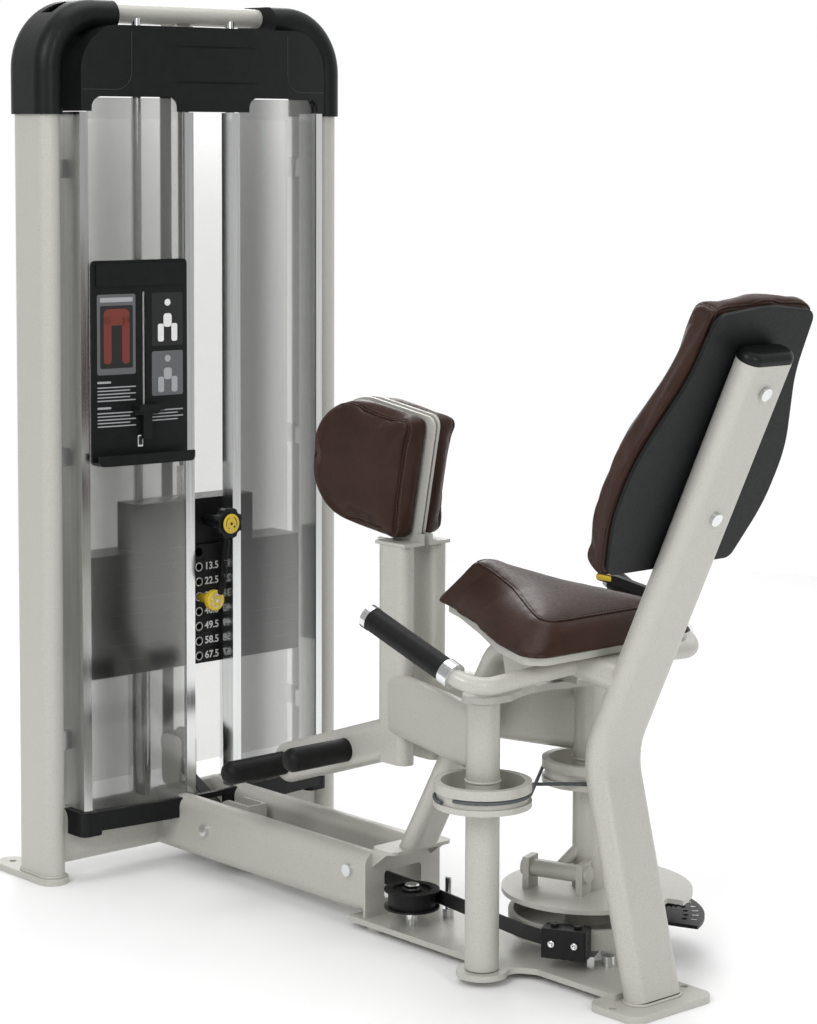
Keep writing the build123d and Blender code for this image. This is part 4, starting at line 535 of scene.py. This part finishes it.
def evened_copy(node, voxel, inset):
    """Closed evenly meshed copy of a CAD cushion, drawn in by inset."""
    obj = bpy.data.objects.new("sewing", frame["nodes"][node].data.copy())
    bpy.context.collection.objects.link(obj)
    remesh = obj.modifiers.new("Remesh", "REMESH")
    remesh.mode = "VOXEL"
    remesh.voxel_size = voxel
    obj.data = evaluated_mesh(obj)
    obj.modifiers.clear()
    bm = bmesh.new()
    bm.from_mesh(obj.data)
    relax(bm, 3)
    bm.normal_update()
    for vert in bm.verts:
        vert.co -= vert.normal * inset
    bm.to_mesh(obj.data)
    bm.free()
    return obj


HELD_DEPTH = 0.006                # the cover is fixed this near to the backing plane
PRESSURE = 4.0
CLOTH_FRAMES = 20


def inflate(obj, backing, way, cap):
    """Blow the cushion up with cloth pressure, held where it lies on its backing plane."""
    rest = [v.co.copy() for v in obj.data.vertices]
    held = obj.vertex_groups.new(name="held")
    held.add([i for i, co in enumerate(rest) if (co - backing).dot(way) < HELD_DEPTH], 1.0, "REPLACE")
    cloth = obj.modifiers.new("Cloth", "CLOTH")
    cloth.settings.vertex_group_mass = "held"
    cloth.settings.use_pressure = True
    cloth.settings.uniform_pressure_force = PRESSURE
    cloth.settings.quality = 4
    cloth.settings.effector_weights.gravity = 0.0
    cloth.collision_settings.use_collision = False
    cloth.point_cache.frame_start = 1
    cloth.point_cache.frame_end = CLOTH_FRAMES
    for step in range(1, CLOTH_FRAMES + 1):
        bpy.context.scene.frame_set(step)
    blown = obj.evaluated_get(bpy.context.evaluated_depsgraph_get()).to_mesh()
    moved = [v.co.copy() for v in blown.vertices]
    obj.modifiers.clear()
    for vert, start, end in zip(obj.data.vertices, rest, moved):
        step = end - start
        vert.co = start + (step * (cap / step.length) if step.length > cap else step)
    bpy.context.scene.frame_set(1)


def softened(obj, rounds):
    """Relax the mesh, then subdivide it once."""
    bm = bmesh.new()
    bm.from_mesh(obj.data)
    relax(bm, rounds)
    bm.to_mesh(obj.data)
    bm.free()
    divide = obj.modifiers.new("Subdivision", "SUBSURF")
    divide.levels = 1
    obj.data = evaluated_mesh(obj)
    obj.modifiers.clear()


def crowned(obj, backing, way, thickness, rise):
    """Raise the face away from the backing into a low crown, highest in the middle."""
    low = Vector([min(v.co[k] for v in obj.data.vertices) for k in range(3)])
    high = Vector([max(v.co[k] for v in obj.data.vertices) for k in range(3)])
    middle, half = (low + high) / 2, (high - low) / 2
    for vert in obj.data.vertices:
        up = min(1.0, max(0.0, (vert.co - backing).dot(way) / thickness))
        offset = vert.co - middle
        across = [offset[k] / max(half[k], 1e-6) for k in range(3) if abs(way[k]) < 0.8]
        fall = 1.0 - min(1.0, sum(a * a for a in across) / 1.6)
        vert.co += way * rise * up * fall


def sewn(obj, paths, depth, width):
    """Pull the cover in along seams, with small puckers along them."""
    tree = KDTree(sum(len(p) for p in paths))
    index = 0
    for path in paths:
        for point in path:
            tree.insert(point, index)
            index += 1
    tree.balance()
    normals = [v.normal.copy() for v in obj.data.vertices]
    for vert, normal in zip(obj.data.vertices, normals):
        _, nearest, gap = tree.find(vert.co)
        if gap < width * 3:
            pucker = 1.0 + 0.35 * sin(nearest * 0.9)
            near = exp(-((gap / width) ** 2))
            wide = 0.18 * exp(-((gap / (2.2 * width)) ** 2)) * pucker
            vert.co -= normal * depth * (near + wide)


def on_surface(mesh, path, lift):
    """Path moved onto a mesh and raised by lift."""
    bm = bmesh.new()
    bm.from_mesh(mesh)
    tree = BVHTree.FromBMesh(bm)
    bm.free()
    out = []
    for point in path:
        place, normal, _, _ = tree.find_nearest(point)
        out.append(place + normal * lift)
    return out


def stitch_run(bm, path, pitch, length, radius):
    """Short sewing stitches along a closed path."""
    spots = even(path, pitch, True)
    for point, after in zip(spots, spots[1:]):
        way = (after - point).normalized()
        centre = (point + after) / 2
        ends = [centre + way * (length * (k / 4 - 0.5)) for k in range(5)]
        add_tube(bm, ends, radius, sides=6, swell=lambda i: (0.45, 0.9, 1.0, 0.9, 0.45)[i])


def open_run(chain, keep):
    """Longest unbroken stretch of a closed chain whose points all pass keep."""
    marks = [keep(p) for p in chain]
    if all(marks):
        return chain
    start = next(i for i in range(len(chain)) if not marks[i])
    best, run = [], []
    for i in range(start, start + len(chain) + 1):
        if marks[i % len(chain)]:
            run.append(chain[i % len(chain)])
        else:
            best, run = max(best, run, key=len), []
    return best


SEAM_STEP = 0.004
SEAM_DEPTH, SEAM_WIDTH = 0.0030, 0.0042
PIPING_R = 0.0018
STITCH_PITCH, STITCH_LENGTH, STITCH_R = 0.0065, 0.0046, 0.0006


def filled_pad(node, backing, way, voxel, inset, swell, thickness, rise):
    """Cushion blown up from its CAD solid and crowned, ready for sewing."""
    obj = evened_copy(node, voxel, inset)
    inflate(obj, backing, way, swell)
    softened(obj, 3)
    crowned(obj, backing, way, thickness, rise)
    return obj


def finish_pad(obj, name, node, body, seams, stitches, cross=()):
    """Sew, name and attach one cushion to its body, with its piping, cross seams and stitches."""
    paths = [smoothed(even(s, SEAM_STEP, True), 3) for s in seams]
    across = [even(s, SEAM_STEP, False) for s in cross]
    sewn(obj, paths + across, SEAM_DEPTH, SEAM_WIDTH)
    mesh = obj.data
    bpy.data.objects.remove(obj)
    for polygon in mesh.polygons:
        polygon.use_smooth = True
    pad = piece(name, mesh, FINISH["vinyl"], body)
    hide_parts(node)
    bm = bmesh.new()
    for path in paths:
        add_tube(bm, smoothed(on_surface(mesh, path, 0.0006), 2), PIPING_R, closed=True, sides=10)
    piece(name + "_piping", mesh_of(name + "_piping", bm), FINISH["vinyl"], body)
    bm = bmesh.new()
    for path in across:
        add_tube(bm, on_surface(mesh, path, 0.0001), 0.0008, sides=8)
    for line in stitches:
        route = on_surface(mesh, smoothed(even(line, SEAM_STEP, True), 3), 0.0002)
        stitch_run(bm, route, STITCH_PITCH, STITCH_LENGTH, STITCH_R)
    if across or stitches:
        piece(name + "_stitches", mesh_of(name + "_stitches", bm), THREAD, body)


def top_edge(node, way):
    """Loop of CAD edges around the face that looks along way."""
    bm = bmesh.new()
    bm.from_mesh(frame["nodes"][node].data)
    bmesh.ops.remove_doubles(bm, verts=bm.verts, dist=1e-5)
    bm.normal_update()
    rim = []
    for edge in bm.edges:
        if len(edge.link_faces) == 2:
            facing = [f.normal.dot(way) > 0.985 for f in edge.link_faces]
            if facing[0] != facing[1]:
                rim.append(edge)
    bm.edges.index_update()
    chain = loops(rim)[0]
    bm.free()
    return chain


def make_seat():
    """Seat cushion: broad, crowned and piped around its top panel."""
    under = Vector((0, -0.06, 1)).normalized()
    top = Vector((0, -0.17, 1)).normalized()
    base = Vector((0, PIVOT_Y, 0.586))
    rim = top_edge("seat_cushion", top)
    obj = filled_pad("seat_cushion", base, under, voxel=0.006, inset=0.0035, swell=0.012, thickness=0.07,
                     rise=0.004)
    inner = smoothed(even(rim, SEAM_STEP, True), 4)
    centre = sum(inner, Vector()) / len(inner)
    stitch_line = [p + (centre - p).normalized() * 0.007 for p in inner]
    finish_pad(obj, "seat_pad", "seat_cushion", "frame", [inner], [stitch_line])


def make_back():
    """Back cushion: a plain boxed rim with a bead at the board and a cross seam at each top corner."""
    out = Vector((0, cos(LEAN), sin(LEAN)))
    up = Vector((0, -sin(LEAN), cos(LEAN)))
    base = BACK_ORIGIN + out * 0.030
    obj = filled_pad("back_cushion", base, out, voxel=0.006, inset=0.0030, swell=0.010, thickness=0.056,
                     rise=0.005)
    rim = cut_loop(obj.data, BACK_ORIGIN + out * 0.0345, out)
    cross = [open_run(cut_loop(obj.data, Vector((side * 0.106, 0, 0)), Vector((1, 0, 0))),
                      lambda p: (p - BACK_ORIGIN).dot(up) > 0.600) for side in (-1, 1)]
    finish_pad(obj, "back_pad", "back_cushion", "frame", [rim], [], cross)


def make_leg_pad(side):
    """Boxed leg pad with a piped seam and a row of stitches around its outer face."""
    word = "left" if side < 0 else "right"
    out = Vector((side, 0, 0))
    base = Vector((side * 0.0125, 0, 0))
    obj = filled_pad(word + "_leg_pad", base, out, voxel=0.005, inset=0.003, swell=0.009, thickness=0.052,
                     rise=0.003)
    seams = [cut_loop(obj.data, Vector((side * 0.0530, 0, 0)), out)]
    stitches = [cut_loop(obj.data, Vector((side * 0.0485, 0, 0)), out)]
    finish_pad(obj, word + "_thigh_pad", word + "_leg_pad", word + "_arm", seams, stitches)


# ---------------------------------------------------------------- curly lanyard
LANYARD = (                       # control points from the dial to the pin
    (0.0060, PIVOT_Y + 0.857, 0.632),
    (-0.0100, PIVOT_Y + 0.845, 0.600),
    (-0.0150, PIVOT_Y + 0.842, 0.556),
    (-0.0080, PIVOT_Y + 0.858, 0.536),
    (0.0020, PIVOT_Y + 0.874, 0.5233),
)
WIRE_R = 0.0013
COIL_R = 0.0051
COIL_PITCH = 0.0038
TURN_STEPS = 14                   # points in one turn
FADE_STEPS = 20                   # points over which the coil closes at each end


def make_lanyard():
    """Curly cord from the dial to the selector pin, wound about the route's own spline."""
    curve = bpy.data.curves.new("lanyard_route", "CURVE")
    curve.dimensions = "3D"
    spline = curve.splines.new("NURBS")
    spline.points.add(len(LANYARD) - 1)
    for point, place in zip(spline.points, LANYARD):
        point.co = (*place, 1.0)
    spline.order_u = 3
    spline.use_endpoint_u = True
    spline.resolution_u = 24
    holder = bpy.data.objects.new("lanyard_route", curve)
    bpy.context.collection.objects.link(holder)
    line = [v.co.copy() for v in bpy.data.meshes.new_from_object(holder).vertices]
    bpy.data.objects.remove(holder)
    length = sum((b - a).length for a, b in zip(line, line[1:]))
    turns = round(length / COIL_PITCH)
    route = even(line, length / (turns * TURN_STEPS), False)
    side = Vector((1, 0, 0))
    wire = []
    for i, point in enumerate(route):
        way = (route[min(i + 1, len(route) - 1)] - route[max(i - 1, 0)]).normalized()
        side = (side - way * side.dot(way)).normalized()
        angle = 2 * pi * i / TURN_STEPS
        ends = min(1.0, i / FADE_STEPS, (len(route) - 1 - i) / FADE_STEPS)
        wire.append(point + (side * cos(angle) + way.cross(side) * sin(angle)) * COIL_R * ends)
    bm = bmesh.new()
    add_tube(bm, wire, WIRE_R, sides=8)
    cord = piece("coiled_lanyard", mesh_of("coiled_lanyard", bm), FINISH["rubber"], "pin")
    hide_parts("pin_lanyard")


# ---------------------------------------------------------------- printed numbers and small parts
def add_text(bm, body, size, place, turn):
    """Add raised lettering to a bmesh; place is its middle and turn its 3x3 rotation."""
    curve = bpy.data.curves.new("figures", "FONT")
    curve.body = body
    curve.size = size
    curve.extrude = 0.00025
    curve.offset = 0.0003
    curve.align_x = "CENTER"
    curve.align_y = "CENTER"
    holder = bpy.data.objects.new("figures", curve)
    bpy.context.collection.objects.link(holder)
    mesh = evaluated_mesh(holder)
    mesh.transform(Matrix.Translation(place) @ turn.to_4x4())
    bm.from_mesh(mesh)
    bpy.data.objects.remove(holder)


FACING = Matrix.Rotation(pi / 2, 3, "X")    # turns lettering to face the seat
LOADS = ("67.5", "58.5", "49.5", "40.5", "31.5", "22.5", "13.5")
STACKS = (("resting", "frame", range(0, 4)), ("lifted", "carriage", range(4, 7)))
FIGURE_X, FIGURE_SIZE = 0.031, 0.0200
BUSH_R = 0.0078
PRINT_PROUD = 0.0002


def plate_z(index):
    """Middle height of a weight plate, counted from the lowest."""
    return LOWEST_PLATE_Z + PLATE_PITCH * index


def stack_numbers():
    """White load figures on the plates, and a steel bush round each pin hole."""
    y = PLATE_FRONT_Y - PRINT_PROUD
    for word, body, indices in STACKS:
        bm = bmesh.new()
        for index in indices:
            add_text(bm, LOADS[index], FIGURE_SIZE, (FIGURE_X, y, plate_z(index)), FACING)
        piece(word + "_numbers", mesh_of(word + "_numbers", bm, False), WHITE, body)
    for word, body, indices in STACKS:
        bm = bmesh.new()
        for index in indices:
            ring = [Vector((BUSH_R * cos(t), y, plate_z(index) + BUSH_R * sin(t))) for t in around(28)]
            add_tube(bm, ring, 0.0011, closed=True, sides=8)
        piece(word + "_bushes", mesh_of(word + "_bushes", bm), FINISH["steel"], body)


def add_disc(bm, centre, way, radius, thick, hole=0.0, round_edge=0.0008, steps=48):
    """Turned disc or ring with a rounded outer edge, standing on centre along way."""
    side = way.orthogonal().normalized()
    other = way.cross(side)
    profile = [(hole, 0.0), (radius, 0.0), (radius, thick - round_edge),
               (radius - round_edge * 0.3, thick - round_edge * 0.3), (radius - round_edge, thick),
               (hole, thick)]
    rings = []
    for r, h in profile:
        if r == 0.0:
            rings.append([bm.verts.new(centre + way * h)])
            continue
        rings.append([bm.verts.new(centre + way * h + (side * cos(t) + other * sin(t)) * r)
                      for t in around(steps)])
    for a, b in zip(rings, rings[1:] + ([rings[0]] if hole else [])):
        for k in range(steps):
            after = (k + 1) % steps
            corners = [a[k % len(a)], a[after % len(a)], b[after % len(b)], b[k % len(b)]]
            bm.faces.new(list(dict.fromkeys(corners)))


DIAL_FRONT = Vector((0.022, PIVOT_Y + 0.866, 0.658))
DIAL_FACE_R, DIAL_FACE_T = 0.0190, 0.0016
DIAL_MARK_R = 0.0130
PIN_FRONT = Vector((0.0, PIVOT_Y + 0.884, 0.5083))


def dial_details():
    """Yellow dial face with its two signs, and the pin's grey ring."""
    toward = Vector((0, -1, 0))
    bm = bmesh.new()
    add_disc(bm, DIAL_FRONT, toward, DIAL_FACE_R, DIAL_FACE_T)
    piece("dial_face", mesh_of("dial_face", bm), FINISH["yellow"], "dial")
    bm = bmesh.new()
    face = DIAL_FRONT + toward * DIAL_FACE_T
    add_disc(bm, face, toward, 0.0030, 0.0008)
    for first, last in ((-20, 70), (110, 200)):
        arc = [face + Vector((cos(t), 0, sin(t))) * DIAL_MARK_R
               for t in [radians(first + (last - first) * k / 20) for k in range(21)]]
        add_tube(bm, arc, 0.0007, sides=6)
    add_text(bm, "-", 0.012, DIAL_FRONT + Vector((-0.0070, -0.0018, -0.0070)), FACING)
    add_text(bm, "+", 0.010, DIAL_FRONT + Vector((0.0070, -0.0018, -0.0070)), FACING)
    piece("dial_signs", mesh_of("dial_signs", bm), DARK, "dial")
    bm = bmesh.new()
    add_disc(bm, PIN_FRONT, toward, 0.0130, 0.0012, hole=0.0112)
    add_disc(bm, PIN_FRONT, toward, 0.0040, 0.0016)
    piece("pin_ring", mesh_of("pin_ring", bm), FINISH["steel"], "pin")


def front_point(x, z, proud):
    """Point on the bowed tower front, proud of it."""
    return Vector((x, FRONT_Y - proud + x * x / (2 * FRONT_BOW_R), z))


def add_patch(bm, x, z, proud, thick=0.0005, corner=0.004, columns=12):
    """Thin panel bent to the tower front, with rounded corners; x and z are its (low, high)."""
    outline = []
    for cx, cz, first in ((x[1] - corner, z[1] - corner, 0), (x[0] + corner, z[1] - corner, 90),
                          (x[0] + corner, z[0] + corner, 180), (x[1] - corner, z[0] + corner, 270)):
        for k in range(5):
            t = radians(first + 90 * k / 4)
            outline.append((cx + corner * cos(t), cz + corner * sin(t)))
    top, low = outline[:10], outline[10:]
    across = [x[1] - corner + (x[0] - x[1] + 2 * corner) * k / columns for k in range(1, columns)]
    top = top[:5] + [(a, z[1]) for a in across] + top[5:]
    low = low[:5] + [(a, z[0]) for a in reversed(across)] + low[5:]
    low.reverse()
    rows = []
    for level in (proud, proud + thick):
        rows.append([bm.verts.new(front_point(*p, level)) for p in top])
        rows.append([bm.verts.new(front_point(*p, level)) for p in low])
    back_top, back_low, face_top, face_low = rows
    for k in range(len(top) - 1):
        bm.faces.new((face_top[k], face_top[k + 1], face_low[k + 1], face_low[k]))
        bm.faces.new((back_top[k], back_low[k], back_low[k + 1], back_top[k + 1]))
        bm.faces.new((back_top[k], back_top[k + 1], face_top[k + 1], face_top[k]))
        bm.faces.new((back_low[k], face_low[k], face_low[k + 1], back_low[k + 1]))
    bm.faces.new((back_top[0], face_top[0], face_low[0], back_low[0]))
    bm.faces.new((back_top[-1], back_low[-1], face_low[-1], face_top[-1]))


PLACARD_FRONT = 0.0091            # placard face, proud of the tower front
LAYER, INK_T = 0.0004, 0.0003     # step between printed layers, and their thickness


def placard_piece(name, ink, parts):
    """One printed colour of the placard from its list of rectangles (x0, x1, z0, z1, layer, corner)."""
    bm = bmesh.new()
    for x0, x1, z0, z1, layer, corner in parts:
        add_patch(bm, (x0, x1), (z0, z1), PLACARD_FRONT + LAYER * layer, INK_T, corner)
    return piece(name, mesh_of(name, bm, False), ink, "frame")


def placard_figure(middle, low, tall):
    """Parts of one simple seated figure with spread legs: head, body and two thighs."""
    neck = low + 0.66 * tall
    parts = [(middle - 0.0065, middle + 0.0065, low + tall - 0.013, low + tall, 2, 0.0063),
             (middle - 0.0090, middle + 0.0090, low + 0.34 * tall, neck, 2, 0.006)]
    for side in (-1, 1):
        x = middle + side * 0.0150
        parts.append((x - 0.0065, x + 0.0065, low, low + 0.42 * tall, 2, 0.004))
    return parts


def placard_print():
    """Generic instruction panels: grey fields, plain figure blocks and rules in place of words."""
    left, right = (-0.262, -0.182), (-0.147, -0.078)
    fields = [(*left, 0.958, 1.108, 0, 0.004), (*right, 0.914, 0.998, 0, 0.004)]
    placard_piece("placard_fields", GREY, fields)
    placard_piece("placard_bands", PALE, [(left[0] + 0.006, left[1] - 0.006, 1.0935, 1.1020, 1, 0.002)])
    insets = [(left[0] + 0.006, left[1] - 0.006, 0.970, 1.087, 1, 0.003), (*right, 1.008, 1.108, 0, 0.004)]
    placard_piece("placard_insets", DARK, insets)
    middle = (left[0] + left[1]) / 2
    thighs = [(middle + side * 0.019 - 0.008, middle + side * 0.019 + 0.008, 0.978, 1.068, 2, 0.007)
              for side in (-1, 1)]
    thighs.append((middle - 0.027, middle + 0.027, 1.050, 1.081, 2, 0.011))
    placard_piece("placard_muscle", RUST, thighs)
    middle = (right[0] + right[1]) / 2
    placard_piece("placard_figures", WHITE, placard_figure(middle, 1.016, 0.080))
    placard_piece("placard_pale_figures", PALE, placard_figure(middle, 0.920, 0.070))
    rules = []
    for top, lines, columns in ((0.946, 5, left), (0.898, 5, left), (0.898, 4, right)):
        rules.append((columns[0], columns[0] + 0.028, top - 0.004, top, 0, 0.0015))
        for k in range(lines):
            z = top - 0.0105 - 0.0062 * k
            rules.append((columns[0], columns[1] - 0.012 * (k % 2), z - 0.0022, z, 0, 0.001))
    placard_piece("placard_rules", PALE, rules)
    placard_piece("placard_icon", WHITE, [(-0.178, -0.167, 0.820, 0.842, 0, 0.002)])
    placard_piece("placard_icon_screen", DARK, [(-0.1765, -0.1685, 0.8235, 0.8395, 1, 0.001)])


SEAM_X, SEAM_BEND = 0.186, 0.034  # panel line on the fascia: distance from the middle, bend radius
SEAM_BEND_Z = 1.521               # where its upright stretch ends
SEAM_PROUD = 0.0078


def fascia_seams():
    """Shadow lines of the two corner panels of the top fascia."""
    low_z = SEAM_BEND_Z - SEAM_BEND
    bm = bmesh.new()
    for side in (-1, 1):
        line = [front_point(side * SEAM_X, z, SEAM_PROUD) for z in (1.5950, 1.58, 1.56, 1.54, 1.52)]
        line += [front_point(side * (SEAM_X + SEAM_BEND * (1 - cos(t))), SEAM_BEND_Z - SEAM_BEND * sin(t),
                             SEAM_PROUD)
                 for t in [radians(90 * k / 8) for k in range(1, 9)]]
        line += [front_point(side * x, low_z, SEAM_PROUD) for x in (0.235, 0.250, 0.265, 0.280, 0.288)]
        add_tube(bm, line, 0.0009, sides=6)
    piece("fascia_seams", mesh_of("fascia_seams", bm), DARK, "frame")


# ---------------------------------------------------------------- welds, cam figures, bolts and lever
def oval_path(centre, straight, radius, across_x):
    """Flat-oval path in a level plane, its long side along X or Y."""
    out = []
    for t in around(48):
        u = radius * cos(t) + (straight if cos(t) > 0 else -straight)
        v = radius * sin(t)
        dx, dy = (u, v) if across_x else (v, u)
        out.append(Vector((centre[0] + dx, centre[1] + dy, centre[2])))
    return even(out, 0.0022, True)


def ripple(i):
    """Bead size at point i of a weld."""
    return 1.0 + 0.14 * sin(i * 1.9)


def add_weld(bm, path, radius):
    """Rippled bead along a closed path."""
    add_tube(bm, path, radius, closed=True, sides=8, swell=ripple)


FOOT_WELD_Z = 0.0135              # bead on top of the foot plates
BASE_WELD_Z = 0.0235              # bead on top of the base plate
OVAL_STRAIGHT = 0.032             # half the straight side of the frame tube
DRUM_WELD_ZS = (0.3000, 0.3420)   # under and over each cable drum
POST_FOOT_Y = PIVOT_Y - 0.2697


def make_welds():
    """Painted weld beads where tubes stand on plates."""
    bm = bmesh.new()
    for side in (-1, 1):
        foot = (side * UPRIGHT_X, TOWER_Y, FOOT_WELD_Z)
        add_weld(bm, oval_path(foot, OVAL_STRAIGHT, 0.0235, False), 0.0028)
        axle = (side * PIVOT_X, PIVOT_Y, BASE_WELD_Z)
        add_weld(bm, oval_path(axle, 0.0, 0.0125, True), 0.0024)
    add_weld(bm, oval_path((0, POST_FOOT_Y, FOOT_WELD_Z), OVAL_STRAIGHT, 0.0240, True), 0.0028)
    piece("frame_welds", mesh_of("frame_welds", bm), FINISH["frame_paint"], "frame")
    for word, side in (("left", -1), ("right", 1)):
        bm = bmesh.new()
        for z in DRUM_WELD_ZS:
            add_weld(bm, oval_path((side * PIVOT_X, PIVOT_Y, z), 0.0, 0.0290, True), 0.0022)
        piece(word + "_drum_welds", mesh_of(word + "_drum_welds", bm), FINISH["frame_paint"], word + "_arm")


NUMBER_PLATE_R, NUMBER_PLATE_TOP = 0.184, 0.0722


def cam_figures():
    """White position figures on the cam's black number plate."""
    bm = bmesh.new()
    for index in range(6):
        angle = radians(-58 + 8 * index)
        place = Vector((PIVOT_X + NUMBER_PLATE_R * cos(angle), PIVOT_Y + NUMBER_PLATE_R * sin(angle),
                        NUMBER_PLATE_TOP))
        add_text(bm, str(index + 1), 0.014, place, Matrix.Rotation(angle - pi / 2, 3, "Z"))
    piece("cam_figures", mesh_of("cam_figures", bm, False), WHITE, "cam")


def add_bolt(bm, centre, way, radius, tall):
    """Low domed socket-head bolt standing on centre along way."""
    side = way.orthogonal().normalized()
    other = way.cross(side)
    profile = [(radius, 0.0), (radius, 0.45 * tall), (0.93 * radius, 0.78 * tall), (0.74 * radius, tall),
               (0.42 * radius, tall), (0.40 * radius, 0.35 * tall)]
    rings = []
    for r, h in profile:
        rings.append([bm.verts.new(centre + way * h + (side * cos(t) + other * sin(t)) * r)
                      for t in around(24)])
    for a, b in zip(rings, rings[1:]):
        bridge(bm, a, b)
    cap_ends(bm, rings)


CLAMP_ALONG = Vector((0.46, -0.89, 0)).normalized()
CLAMP_OUT = Vector((-0.89, -0.46, 0)).normalized()
CLAMP_MIDDLE = Vector((-0.026, PIVOT_Y - 0.098, 0.070))
CLAMP_HALF_T = 0.0180


def clamp_bolts():
    """Two bright bolts in the side of the belt clamp on the cam."""
    middle = CLAMP_MIDDLE + CLAMP_OUT * CLAMP_HALF_T
    bm = bmesh.new()
    for side in (-1, 1):
        add_bolt(bm, middle + CLAMP_ALONG * (side * 0.020), CLAMP_OUT, 0.0065, 0.0045)
    piece("clamp_bolts", mesh_of("clamp_bolts", bm), FINISH["chrome"], "cam")


LEVER_X, LEVER_Z = 0.254, 0.6275
LEVER_TIP = (                     # distance in front of the pivots, half height, half width
    (0.0700, 0.0062, 0.0066), (0.0715, 0.0080, 0.0074), (0.100, 0.0082, 0.0076), (0.1065, 0.0070, 0.0068),
    (0.1085, 0.0040, 0.0045),
)


def lever_tip():
    """Yellow grip over the lever's front end."""
    bm = bmesh.new()
    rings = []
    for y, half_z, half_x in LEVER_TIP:
        rings.append([bm.verts.new((LEVER_X + half_x * cos(t), PIVOT_Y + y, LEVER_Z + half_z * sin(t)))
                      for t in around(24)])
    for a, b in zip(rings, rings[1:]):
        bridge(bm, a, b)
    cap_ends(bm, rings)
    piece("lever_tip", mesh_of("lever_tip", bm), FINISH["yellow"], "lever")


add_camera()
add_studio()
paint_nodes()
make_lanyard()
make_seat()
make_back()
make_leg_pad(-1)
make_leg_pad(1)
stack_numbers()
dial_details()
placard_print()
fascia_seams()
make_welds()
cam_figures()
clamp_bolts()
lever_tip()
